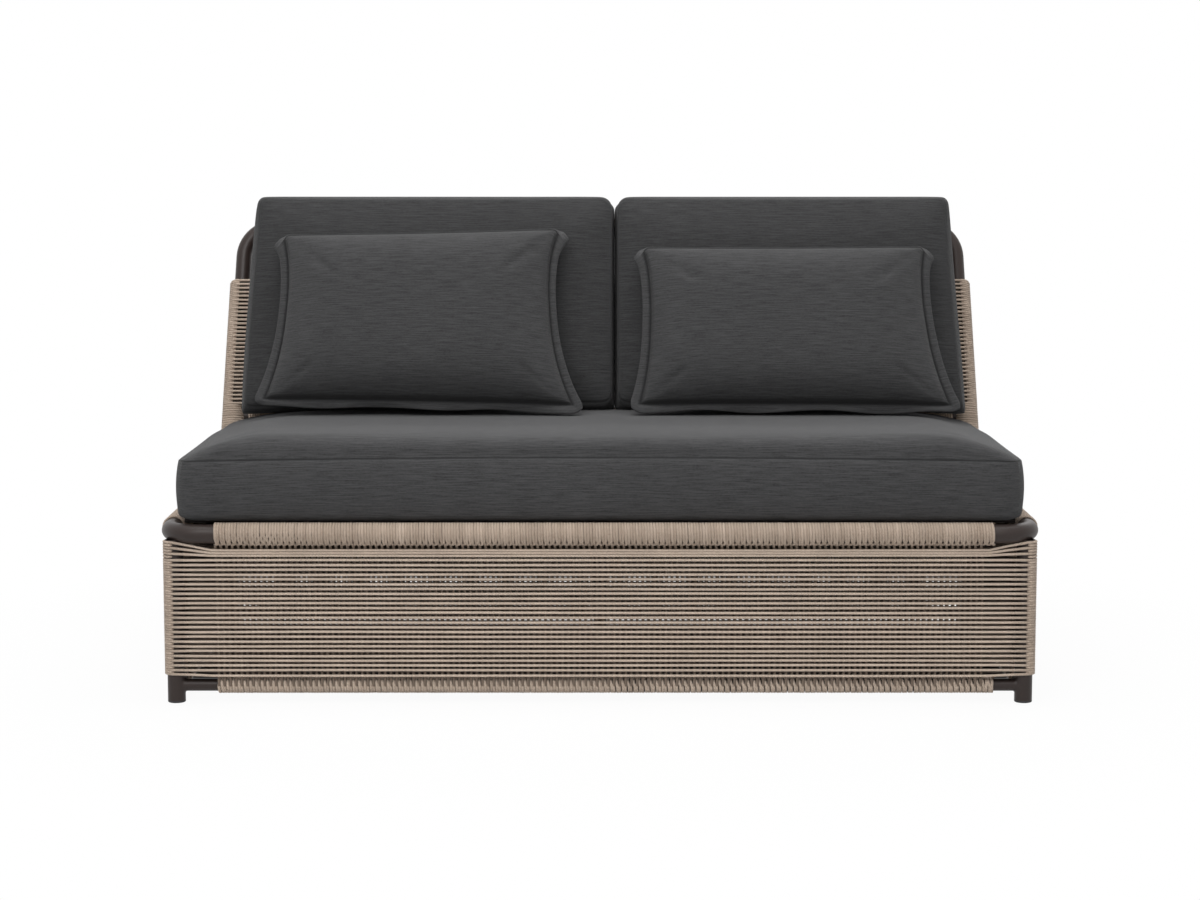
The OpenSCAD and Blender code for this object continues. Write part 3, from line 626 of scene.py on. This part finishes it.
# part of a turn round a tube in the plane of z. The ends named are tucked in behind the turns beside them
def tuckedArc(centre, radius, low, high, z, tuck=rowSettings["tuck"], ends="both"):
    steps = 18
    angle = np.radians(np.linspace(low, high, steps))
    first = np.clip(1 - np.arange(steps) / 2, 0, 1) * (ends != "last")
    into = first + np.clip(1 - np.arange(steps)[::-1] / 2, 0, 1) * (ends != "first")
    r = radius - tuck * into
    return np.stack([centre[0] + r * np.cos(angle), centre[1] + r * np.sin(angle), np.full(steps, z)], 1)


# one row of a side panel. It fills the outer quarter of both posts between the rows of the front
# and the rear, and its inner strand runs from post to post. outer is -1 or 1 along Y
def sideRow(reach, z, outer):
    radius = tubes["postR"] + ropeSize["d"] / 2
    tuckAt = math.degrees(math.asin(rowSettings["sideTuck"] / radius))
    depthDrift, sag = rowSettings["sideDrift"]
    front = tuckedArc((-reach, 0), radius, 180 - outer * tuckAt, 90 if outer > 0 else 270, z, ends="first")
    rear = tuckedArc((reach, 0), radius, 90 if outer > 0 else -90, outer * tuckAt, z, ends="last")
    steps = 30
    x = np.linspace(-reach, reach, steps + 2)[1:-1]
    straight = np.stack([x, outer * radius + wander(steps, depthDrift, 8), z + wander(steps, sag, 8)], 1)
    inner = np.linspace(-reach + tubes["postR"], reach - tubes["postR"], steps)
    inside = np.stack([inner, wander(steps, sag, 8), z + wander(steps, sag, 8)], 1)
    path = np.concatenate([front, straight, rear])
    # the row's pale tone stands for painted light, and the inner strand is painted dark, as painted shade
    return [ropeAlong(path, (0, 0, 1), tone=ropeRandom.uniform(*ropeTones["sideRows"])),
            ropeAlong(inside, (0, 0, 1), tone=ropeTones["inner"])]


# the place (x, y, z), turned round Z by a number of quarter turns
def turnedPlace(x, y, z, quarters):
    return Matrix.Translation((x, y, z)) @ Matrix.Rotation(quarters * math.pi / 2, 4, "Z")


def buildRopes(settings):
    rows = rowHeights(settings)
    band = len(settings["band"])
    midY = (tubes["frontY"] + tubes["rearY"]) / 2
    sideReach = (tubes["rearY"] - tubes["frontY"]) / 2 - tubes["postInset"]
    radius = tubes["postR"] + ropeSize["d"] / 2
    ends = (("front", tubes["frontY"], 1, 0), ("rear", tubes["rearY"], -1, 2))
    sides = (("left", -1), ("right", 1))
    for (name, y, inward, quarters), evenRise in zip(ends, settings["rises"]):
        rises = [0.0] * band + [evenRise] * (len(rows) - band - 1) + [0.0]
        loops = [rowLoop(tubes["postX"], *heights, radius, rise) for heights, rise in zip(rows, rises)]
        place = turnedPlace(0, y + inward * tubes["postInset"], 0, quarters)
        addRopes(name + "RowRope", loops, place, name + "_cross_rope")
    for name, side in sides:
        ropes = [rope for a, b in zip(rows, rows[1:]) for rope in sideRow(sideReach, (a[0] + b[0]) / 2, -side)]
        addRopes(name + "RowRope", ropes, turnedPlace(side * tubes["postX"], midY, 0, 1), name + "_cross_rope")
    for name, y, inward, quarters in ends:
        panel = uprightPanel(tubes["railWrap"], tubes["lowWrap"], tubes["postInset"], tubes["bearers"])
        addRopes(name + "StrandRope", panel, turnedPlace(0, y, 0, quarters), name + "_upright_rope")
    for name, side in sides:
        wrap = (-tubes["sideHalf"], tubes["sideHalf"])
        panel = uprightPanel(wrap, wrap, tubes["sideInset"], (math.inf,))  # no bearer ends here
        addRopes(name + "StrandRope", panel, turnedPlace(side * tubes["sideX"], midY, 0, side), name + "_upright_rope")
    return len(rows)


print("stage: panel ropes,", buildRopes(rowSettings), "rows")

# the back leans: X along the sofa, Z up the lean, -Y towards the sitter
lean = math.radians(tubes["lean"])
backPlace = Matrix.Translation((0, tubes["footY"], tubes["railZ"])) @ Matrix.Rotation(-lean, 4, "X")

# outerReach and innerReach are half the angle that the turns close outside each upright, in two layers, and
# footReach is that of the turns at the foot
backRopeSettings = {"row": 0.0083, "foot": 0.0262, "top": 0.4185, "gap": 0.0002, "lastIn": 0.0022, "drift": 0.00015,
                    "outerReach": 79, "innerReach": 74, "footReach": 176}


# the back's rows loop round both uprights. Between them, shorter turns close the outer side of each upright,
# over an inner layer, and below the lower rail the turns lie close together
def buildBackRopes(settings):
    d = ropeSize["d"]
    slope = math.tan(math.radians(tubes["taper"]))
    inR = tubes["backR"] + d / 2
    outR = inR + d + settings["gap"]
    pitch = settings["row"]
    firstRow = tubes["lowH"] + tubes["lowBackR"] + 2 * d
    rows = np.arange(firstRow, settings["top"], pitch)
    ropes = []
    for number, h in enumerate(rows):
        radius, rise = (outR, pitch / 2) if number < len(rows) - 1 else (outR - settings["lastIn"], 0.0)
        ropes.append(rowLoop(tubes["footX"] - slope * h, h, h, radius, rise))
    for side in (-1, 1):
        outward = 0 if side > 0 else 180

        def addTurn(h, radius, reach, tuck=0.0):
            centre = (side * (tubes["footX"] - slope * h), 0)
            level = h + ropeRandom.normal(0, settings["drift"])
            path = tuckedArc(centre, radius, outward - reach, outward + reach, level, tuck)
            ropes.append(ropeAlong(path, (0, 0, 1)))

        for h in rows[:-1] + pitch / 2:
            addTurn(h, outR, settings["outerReach"], rowSettings["tuck"])
        for h in np.arange(settings["foot"], settings["top"], ropeSize["turn"]):
            addTurn(h, inR, settings["innerReach"])
        for h in np.linspace(settings["foot"], firstRow - d, round((firstRow - d - settings["foot"]) / d) + 1):
            addTurn(h, outR, settings["footReach"])
    addRopes("backRowRope", ropes, backPlace, "back_cross_rope")
    lowHalf = tubes["footX"] - slope * tubes["lowH"] - outR - d
    ropes = [
        windingAlongX(tubes["lowBackR"], -lowHalf, lowHalf, (0, tubes["lowH"]), steps=18),
        windingAlongX(tubes["backR"], -tubes["backHalf"], tubes["backHalf"], (0, tubes["backH"])),
    ]
    for place in strandPlaces(tubes["backHalf"]):
        for face in (-1, 1):
            y0, y1 = face * (tubes["lowBackR"] + d / 2), face * (tubes["backR"] + d / 2)
            high = tubes["backH"] - strandSettings["intoBack"]
            ropes.append(uprightStrand(place, (y0, tubes["lowH"]), (y1, high)))
    addRopes("backStrandRope", ropes, backPlace, "back_upright_rope")


buildBackRopes(backRopeSettings)
print("stage: back ropes")

# weld beads where the bottom rails meet the posts
weldSettings = {"reach": 0.0042, "around": 28, "across": 6}


# a hollow bead round the joint of a small tube, along X, with a larger one, along Z at the origin
def weldBead(smallR, largeR, settings):
    points, faces = [], []
    around, across = settings["around"], settings["across"]
    wide = smallR + settings["reach"]
    for i in range(around):
        turn = i / around * math.tau
        c, s = math.cos(turn), math.sin(turn)
        corner = Vector((math.sqrt(largeR ** 2 - (smallR * c) ** 2), smallR * c, smallR * s))
        onSmall = corner + Vector((settings["reach"], 0, 0))
        onLarge = Vector((math.sqrt(largeR ** 2 - (wide * c) ** 2), wide * c, wide * s))
        for j in range(across + 1):
            t = j / across
            points.append(onSmall * (1 - t) ** 2 + corner * 2 * t * (1 - t) + onLarge * t * t)
    row = across + 1
    for i in range(around):
        for j in range(across):
            a, b = i * row + j, ((i + 1) % around) * row + j
            faces.append((a, b, b + 1, a + 1))
    return points, faces


def buildWelds(settings):
    points, faces = [], []
    beadPoints, beadFaces = weldBead(tubes["lowR"], tubes["postR"], settings)
    for side in (-1, 1):
        for y, inward in ((tubes["frontY"] + tubes["postInset"], 1), (tubes["rearY"] - tubes["postInset"], -1)):
            for quarters in (0 if side < 0 else 2, inward):
                start = len(points)
                place = turnedPlace(side * tubes["postX"], y, tubes["lowZ"], quarters)
                points += [place @ point for point in beadPoints]
                faces += [tuple(start + corner for corner in face) for face in beadFaces]
    addToFrame("weldBeads", newMesh("weldBeads", points, faces), powderCoat, "frame_metal")


buildWelds(weldSettings)
print("stage: welds")


# places along the width and along the depth, from -1 to 1: near both edges at the shape's distances, and even
# cells between
def spacedFromEdges(halves, shape):
    near = np.array(shape["near"])
    for half, cells in zip(halves, shape["cells"]):
        inner = np.linspace(-half + near[-1], half - near[-1], cells + 1)
        yield np.concatenate([-half + near[:-1], inner, half - near[:-1][::-1]]) / half


# a closed lattice over a box: only its surface. place(u, v, w) takes u and v from -1 to 1 and w from 0 to 1. It
# gives the mesh, and the number of the point at each (i, j, k)
def latticeMesh(name, us, vs, ws, sizes, place):
    nx, ny, nz = len(us) - 1, len(vs) - 1, len(ws) - 1
    index, points, faces, cloth = {}, [], [], []
    lengths = [(np.array(values) - values[0]) / (values[-1] - values[0]) * size
               for values, size in zip((us, vs, ws), sizes)]

    def corner(key):
        if key not in index:
            index[key] = len(points)
            points.append(place(us[key[0]], vs[key[1]], ws[key[2]]))
        return index[key]

    def quad(keys, first, second):
        faces.append([corner(key) for key in keys])
        cloth.extend([(lengths[first][key[first]], lengths[second][key[second]]) for key in keys])

    for i in range(nx):
        for j in range(ny):
            quad([(i, j, nz), (i + 1, j, nz), (i + 1, j + 1, nz), (i, j + 1, nz)], 0, 1)
            quad([(i, j, 0), (i, j + 1, 0), (i + 1, j + 1, 0), (i + 1, j, 0)], 0, 1)
    for k in range(nz):
        for i in range(nx):
            quad([(i, 0, k), (i + 1, 0, k), (i + 1, 0, k + 1), (i, 0, k + 1)], 0, 2)
            quad([(i, ny, k), (i, ny, k + 1), (i + 1, ny, k + 1), (i + 1, ny, k)], 0, 2)
        for j in range(ny):
            quad([(nx, j, k), (nx, j + 1, k), (nx, j + 1, k + 1), (nx, j, k + 1)], 1, 2)
            quad([(0, j, k), (0, j, k + 1), (0, j + 1, k + 1), (0, j + 1, k)], 1, 2)
    mesh = newMesh(name, points, faces)
    mesh.uv_layers.new(name="cloth").data.foreach_set("uv", np.array(cloth, np.float32).ravel())
    mesh.attributes.new("seam", "FLOAT", "POINT")
    mesh.update()
    return mesh, index


# rounds the corners of a rectangle: a point in a corner square of side r goes to the quarter disc
def roundCorner(x, y, a, b, r):
    s, t = (abs(x) - a + r) / r, (abs(y) - b + r) / r
    if s <= 0 or t <= 0:
        return x, y
    return (math.copysign(a - r + r * s * math.sqrt(1 - t * t / 2), x),
            math.copysign(b - r + r * t * math.sqrt(1 - s * s / 2), y))


def smoothStep(value):
    value = min(1.0, max(0.0, value))
    return value * value * (3 - 2 * value)


# how full a rolled edge is at a distance from it, from 0 to 1
def rolled(distance, reach, power=2.3):
    return 1 - (1 - min(1.0, max(0.0, distance) / reach)) ** power


# how far a quarter-round edge of height r pulls in at a height above its foot
def quarterInset(height, r, depth):
    if height >= r:
        return 0.0
    return depth * (1 - math.sqrt(max(0.0, 1 - (1 - height / r) ** 2)))


# an upright face of the given height that bends over by a quarter of a circle: from the way along the cloth
# to the way across and the height, where the whole way along the cloth is spread over the whole width
def bentFace(along, face, radius, whole):
    arc = radius * math.pi / 2
    if along <= face:
        return 0.0, along
    if along <= face + arc:
        turn = (along - face) / radius
        return radius * (1 - math.cos(turn)), face + radius * math.sin(turn)
    return radius + (along - face - arc) * (whole - radius) / (whole - face - arc), face + radius


# holds points under a limit along one axis, as a neighbour that they rest against does
def pressed(value, limit, softness=0.0015):
    over = value - limit + softness
    return value if over <= 0 else limit - softness * math.exp(-over / softness)


# what the cushions' cloths share. Each has its own tension, bending, pressure and reach
clothRun = {"quality": 4, "mass": 0.25, "steps": 20}


# lets the cloth swell over its filling, and keeps each point within reach of where it began
def swellCloth(piece, pins, settings):
    group = piece.vertex_groups.new(name="held")
    group.add(pins, 1.0, "REPLACE")
    before = np.empty(len(piece.data.vertices) * 3)
    piece.data.vertices.foreach_get("co", before)
    cloth = piece.modifiers.new("Cloth", "CLOTH")
    values = cloth.settings
    values.quality, values.mass = clothRun["quality"], clothRun["mass"]
    values.tension_stiffness = values.compression_stiffness = settings["tension"]
    values.shear_stiffness = settings["tension"] / 3
    values.bending_stiffness = settings["bending"]
    values.use_pressure = True
    values.uniform_pressure_force = settings["pressure"]
    values.effector_weights.gravity = 0
    values.vertex_group_mass = "held"
    values.pin_stiffness = 1.0
    cloth.collision_settings.use_collision = False
    cloth.point_cache.frame_start, cloth.point_cache.frame_end = 1, clothRun["steps"]
    for step in range(clothRun["steps"]):
        scene.frame_set(step + 1)
    swelled = piece.evaluated_get(bpy.context.evaluated_depsgraph_get())
    after = np.empty(len(before))
    swelled.data.vertices.foreach_get("co", after)
    piece.modifiers.remove(cloth)
    move = (after - before).reshape(-1, 3)
    length = np.linalg.norm(move, axis=1)
    limit = settings["reach"]
    move *= (limit * np.tanh(length / limit) / np.maximum(length, 1e-9))[:, None]
    piece.data.vertices.foreach_set("co", before + move.ravel())
    piece.data.update()
    scene.frame_set(1)
    print("stage:", piece.name, "swelled by up to", round(float(np.linalg.norm(move, axis=1).max()) * 1000, 1), "mm")


def finishCushion(piece, material, node):
    piece.modifiers.new("Smooth", "SUBSURF").levels = 1
    piece.modifiers["Smooth"].render_levels = 1
    piece.data.materials.append(material)
    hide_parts(node)
    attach(piece, node)


# pulls the points of a seam in along their normals, and marks them for the material, which paints them dark as painted
# shade. Points holds strengths
def sinkSeam(mesh, points, depth):
    normals = np.empty(len(mesh.vertices) * 3)
    mesh.vertex_normals.foreach_get("vector", normals)
    normals = normals.reshape(-1, 3)
    shadeMarks = np.zeros(len(mesh.vertices), np.float32)
    for point, strength in points.items():
        mesh.vertices[point].co -= Vector(normals[point]) * depth * strength
        shadeMarks[point] = strength
    mesh.attributes["seam"].data.foreach_set("value", shadeMarks)
    mesh.update()


def addCushion(name, mesh, pins, values):
    piece = addObject(name, mesh)
    swellCloth(piece, pins, values)
    return piece


# the side goes up to the seam, which is rise higher in the middle of the front. Over it the top's face bends over,
# climbs to its crest and falls to level at the back. Near is where the points close up at the edges
seatCushion = {
    "width": 1.5165, "depth": 0.713, "side": 0.108, "rise": 0.0072, "crest": 0.1515, "level": 0.1335, "corner": 0.040,
    "face": 0.013, "roll": 0.024, "dropFrom": 0.05, "dropTo": 0.44, "rearRoll": 0.03, "endRoll": 0.18, "droop": 0.008,
    "footRoll": 0.012, "bulge": 0.003, "drawIn": 0.002, "seamInset": 0.002, "seamDepth": 0.0016,
    "centre": (0.0, -0.0827, 0.3306), "most": (0.0015, 0.002), "cells": (96, 46),
    "near": (0, 0.0028, 0.007, 0.013, 0.021, 0.031, 0.043),
    "levels": (0, 0.03, 0.07, 0.12, 0.2, 0.33, 0.47, 0.61, 0.75, 0.87, 0.945, 0.975, 1),
    "cloth": {"tension": 16, "bending": 1.5, "pressure": 4.0, "reach": 0.0036},
}


def buildSeatCushion(values):
    a, b = values["width"] / 2, values["depth"] / 2
    us, vs = spacedFromEdges((a, b), values)
    ws, high = values["levels"], values["face"] + values["roll"]

    def topLevel(depth):
        drop = smoothStep((depth - values["dropFrom"]) / (values["dropTo"] - values["dropFrom"]))
        return between(values["crest"], values["level"], drop)

    def place(u, v, w):
        x, y = roundCorner(u * a, v * b, a, b, values["corner"])
        droop = values["droop"] * smoothStep((v - 0.1) / 0.8) * smoothStep((abs(u) - 0.6) / 0.35)
        seam = values["side"] + values["rise"] * (1 - u * u) - droop
        inset = quarterInset(w * seam, values["footRoll"], values["footRoll"]) + values["seamInset"] * w ** 6
        if abs(u) == 1 or abs(v) == 1:
            inset -= values["bulge"] * math.sin(math.pi * w)
        x *= 1 - inset / a - values["drawIn"] / a * (1 - v * v)
        y *= 1 - inset / b - values["drawIn"] / b * (1 - u * u)
        if w < 1:
            return (x, y, seam * w)
        end = min(1.0, a * (1 - abs(u)) / values["endRoll"])
        full = (1 - (1 - end) ** 2.3) ** 0.8
        across, up = bentFace(b * (1 + v), values["face"], values["roll"], 2 * b)
        y += (across - b * (1 + v)) * min(1.0, full * 1.4)
        lift = (topLevel(across) - seam - droop) * full * up / high * rolled(b * (1 - v), values["rearRoll"])
        return (x, y, seam + lift)

    mesh, index = latticeMesh("seatCushion", us, vs, ws, (2 * a, 2 * b, values["side"]), place)
    last = len(ws) - 1
    rim = [number for (i, j, k), number in index.items()
           if k == last and (i in (0, len(us) - 1) or j in (0, len(vs) - 1))]
    base = [number for (i, j, k), number in index.items() if k == 0]
    piece = addCushion("seatCushionCover", mesh, base + rim, values["cloth"])
    most, mostInFront = values["most"]
    for vertex in mesh.vertices:  # the top may swell by this much over its level
        if vertex.co.z > values["side"] + 0.02:
            over = most + mostInFront * smoothStep(-vertex.co.y * 6)
            vertex.co.z = pressed(vertex.co.z, topLevel(vertex.co.y + b) + over)
    # the seam round the top sinks and is painted dark, as painted shade
    sinkSeam(mesh, dict.fromkeys(rim, 1.0), values["seamDepth"])
    mesh.transform(Matrix.Translation(values["centre"]))
    finishCushion(piece, seatCloth, "seat_cushion")


buildSeatCushion(seatCushion)
print("stage: seat cushion")

# outer is the side that narrows towards the top, and the inner side rests against the other cushion
backCushions = {
    "left": {"low": -0.7195, "high": 0.02994, "outer": -1, "narrow": 0.0255, "swell": 0.0012},
    "right": {"low": 0.03006, "high": 0.7340, "outer": 1, "narrow": 0.0275, "swell": -0.0025},
}
# corners and seams are (inner, outer). A seam's strength is how deep it sinks and how dark it is painted, as painted
# shade. The front's edges are drawn in by their insets, over the depth of their edge
backCushionShape = {
    "foot": 0.1553, "top": 0.5632, "thick": 0.130, "crown": 0.0135, "corners": (0.024, 0.013), "deepCorner": 0.003,
    "roll": 0.06, "frontEdge": 0.030, "frontInset": 0.010, "innerEdge": 0.06, "innerInset": 0.0054,
    "lowEdge": 0.02, "lowInset": 0.019, "rearEdge": 0.012, "rearInset": 0.008, "droop": 0.008, "bulge": 0.0032,
    "plane": 0.0264, "seams": (0.9, 0.18), "seamDepth": 0.0022, "touch": 0.0008, "cells": (54, 32),
    "near": (0, 0.0028, 0.007, 0.014, 0.024),
    "levels": (0, 0.03, 0.08, 0.16, 0.28, 0.42, 0.56, 0.68, 0.78, 0.86, 0.92, 0.955, 0.98, 1),
    "cloth": {"tension": 16, "bending": 1.2, "pressure": 4.0, "reach": 0.0038},
}


def buildBackCushion(name, values, shape):
    a, b = (values["high"] - values["low"]) / 2, (shape["top"] - shape["foot"]) / 2
    us, vs = spacedFromEdges((a, b), shape)
    ws, outer = shape["levels"], values["outer"]
    innerCorner, outerCorner = shape["corners"]
    deepSeam, faintSeam = shape["seams"]

    def place(u, v, w):
        inner = smoothStep(0.5 - 0.5 * outer * u)
        corner = between(outerCorner, innerCorner, inner)
        corner = between(shape["deepCorner"], corner, max(v > 0, smoothStep((w - 0.55) / 0.45)))
        x, y = roundCorner(u * a, v * b, a, b, corner)
        z = shape["thick"] * w
        inset = quarterInset(z, shape["rearEdge"], shape["rearInset"])
        fromFront = shape["thick"] - z
        innerInset = shape["innerInset"] * (1 - min(1.0, fromFront / shape["innerEdge"]) ** 3)
        sideInset = inset + innerInset * inner
        sideInset += quarterInset(fromFront, shape["frontEdge"], shape["frontInset"]) * (1 - inner)
        low = smoothStep(-v * 4)
        inset += quarterInset(fromFront, shape["frontEdge"] + shape["lowEdge"] * low,
                              between(shape["frontInset"], shape["lowInset"], low))
        if abs(u) == 1 or abs(v) == 1:
            bulge = shape["bulge"] * (1 - abs(2 * w - 1) ** 3)
            inset, sideInset = inset - bulge, sideInset - bulge * (1 - inner * smoothStep(w * 5 - 2))
        narrow = values["narrow"] * (v + 1) / 2 - values["swell"] * (1 - v * v)
        x = x * (1 - sideInset / a) - outer * narrow * (1 + outer * u) / 2
        y = y * (1 - inset / b) - shape["droop"] * smoothStep((outer * u - 0.5) / 0.5) * smoothStep(-v)
        if w == 1:
            z += shape["crown"] * rolled(a * (1 - abs(u)), shape["roll"]) * rolled(b * (1 - abs(v)), shape["roll"])
        return (x, y - z * math.tan(lean) * smoothStep((-v - 0.4) / 0.6), z)

    mesh, index = latticeMesh(name, us, vs, ws, (2 * a, 2 * b, shape["thick"]), place)
    last = len(ws) - 1
    rim, base = {}, []
    for (i, j, k), number in index.items():
        if k == last and (i in (0, len(us) - 1) or j in (0, len(vs) - 1)):
            inner = smoothStep(0.5 - 0.5 * outer * us[i]) * smoothStep(1 - vs[j])
            # the seam is painted darkest, as painted shade, at the inner side, where the cushions meet, and along the
            # foot
            rim[number] = between(faintSeam, deepSeam, max(inner, vs[j] < -0.99))
        elif k == 0 or vs[j] == -1 or outer * us[i] == -1:
            base.append(number)
    piece = addCushion(name + "BackCushionCover", mesh, base + list(rim), shape["cloth"])
    for vertex in mesh.vertices:
        vertex.co.x = -outer * pressed(-outer * vertex.co.x, a, shape["touch"])  # the two cushions touch
    sinkSeam(mesh, rim, shape["seamDepth"])
    middle = ((values["low"] + values["high"]) / 2, -shape["plane"], (shape["top"] + shape["foot"]) / 2)
    mesh.transform(backPlace @ Matrix.Translation(middle) @ Matrix.Rotation(math.pi / 2, 4, "X"))
    finishCushion(piece, backCloth, name + "_back_cushion")


for cushionName, cushionValues in backCushions.items():
    buildBackCushion(cushionName, cushionValues, backCushionShape)
print("stage: back cushions")

# top and low are widths. draws are how far the left and the right side are drawn in, shift moves the top and the
# foot sideways, and skew makes the right side taller
pillows = {
    "left": {"x": -0.357, "top": 0.598, "low": 0.668, "height": 0.392, "skew": 0.038, "draws": (0.034, 0.045),
             "shift": (0.0, 0.0), "seed": 3},
    "right": {"x": 0.3795, "top": 0.608, "low": 0.669, "height": 0.3665, "skew": 0.007, "draws": (0.027, 0.032),
              "shift": (-0.0125, 0.0065), "seed": 11},
}
pillowShape = {
    "thick": 0.094, "flange": 0.0185, "flangeThick": 0.0066, "groove": 0.0022, "corners": (0.022, 0.034),
    "endDraw": 0.003, "fullness": 0.46, "tilt": 6.0, "wave": 0.0045, "lift": 0.0055, "fold": 84, "earDrop": 0.032,
    "out": 0.2295, "seatTop": 0.4658, "seatGap": 0.0009, "seamDepth": 0.0006, "cells": (66, 36),
    "near": (0, 0.0016, 0.005, 0.009, 0.0135, 0.0170, 0.0187, 0.0205, 0.0225, 0.026, 0.031, 0.039),
    "grooves": {5: 0.5, 6: 1.0, 7: 1.0, 8: 0.7},
    "cloth": {"tension": 12, "bending": 0.5, "pressure": 3.5, "reach": 0.0045},
}


def buildPillow(name, values, shape):
    a, b = (values["top"] + values["low"]) / 4, values["height"] / 2
    splay = (values["low"] - values["top"]) / 4 / b
    flange = shape["flange"]
    waves = np.random.default_rng(values["seed"]).uniform(0, math.tau, 4)
    topShift, footShift = values["shift"]
    us, vs = spacedFromEdges((a, b), shape)

    def place(u, v, w):
        x, y = roundCorner(u * a, v * b, a, b, shape["corners"][1 if v < 0 else 0])
        fromEdge = min(a * (1 - abs(u)), b * (1 - abs(v)))
        s, t = min(1, abs(u) * a / (a - flange - 0.003)), min(1, abs(v) * b / (b - flange - 0.002))
        body = ((1 - s ** 4.6) * (1 - t ** (5.5 if v > 0 else 3.4))) ** shape["fullness"]
        welt = math.sin(math.pi * min(1, fromEdge / flange)) ** 0.6 if fromEdge < flange else 0
        groove = shape["groove"]
        thick = groove + (shape["flangeThick"] - groove) * welt + (shape["thick"] - groove) * body
        slack = smoothStep(1 - fromEdge / flange)
        ripple = math.sin(u * 8 + waves[0]) * 0.6 + math.sin(u * 15 + waves[1]) * 0.35
        ripple += math.sin(v * 8 + waves[2]) * 0.3
        z = (w - 0.5) * thick + shape["wave"] * slack * (0.3 + 0.7 * smoothStep(-v * 2)) * ripple
        past = max(0.0, flange - b * (1 - v))  # the flange along the top lies folded back behind the body
        fold = math.radians(shape["fold"]) * smoothStep((0.995 - abs(u)) / 0.09)
        y, z = y - past * (1 - math.cos(fold)) - z * math.sin(fold) * (past > 0), z - past * math.sin(fold)
        draw = values["draws"][1 if u > 0 else 0]
        x = x * (1 - splay * y / a) - draw * u * abs(u) * (1 - abs(v) ** 2.4)
        x += between(footShift, topShift, (v + 1) / 2)
        y = y * (1 - shape["endDraw"] / b * max(0, 1 - u * u)) * (1 + values["skew"] * u)
        y -= shape["earDrop"] * smoothStep((abs(u) - 0.9) / 0.1) * smoothStep((v - 0.55) / 0.45)
        y += shape["lift"] * slack * smoothStep(-v * 3) * (0.5 + 0.5 * math.sin(u * 9 + waves[3]))
        return (x, y, z)

    mesh, index = latticeMesh(name, us, vs, (0, 0.5, 1), (2 * a, 2 * b, 0.01), place)
    nx, ny = len(us) - 1, len(vs) - 1
    fromRim = {number: min(i, nx - i, j, ny - j) for (i, j, k), number in index.items()}
    pins = [number for number, steps in fromRim.items() if steps <= 7]
    # the groove inside the flange sinks and is painted dark, as painted shade
    groove = {number: shape["grooves"][steps] for number, steps in fromRim.items() if steps in shape["grooves"]}
    piece = addCushion(name + "PillowCover", mesh, pins, shape["cloth"])
    sinkSeam(mesh, groove, shape["seamDepth"])
    tilt = math.radians(shape["tilt"])
    middleZ = shape["seatTop"] + b * (1 + values["skew"]) * math.cos(lean + tilt) + shape["seatGap"]
    up = (middleZ - tubes["railZ"] - shape["out"] * math.sin(lean)) / math.cos(lean)
    turn = Matrix.Rotation(math.pi / 2 - tilt, 4, "X")
    mesh.transform(backPlace @ Matrix.Translation((values["x"], -shape["out"], up)) @ turn)
    finishCushion(piece, pillowCloth, name + "_pillow")


for pillowName, pillowValues in pillows.items():
    buildPillow(pillowName, pillowValues, pillowShape)
print("stage: pillows")
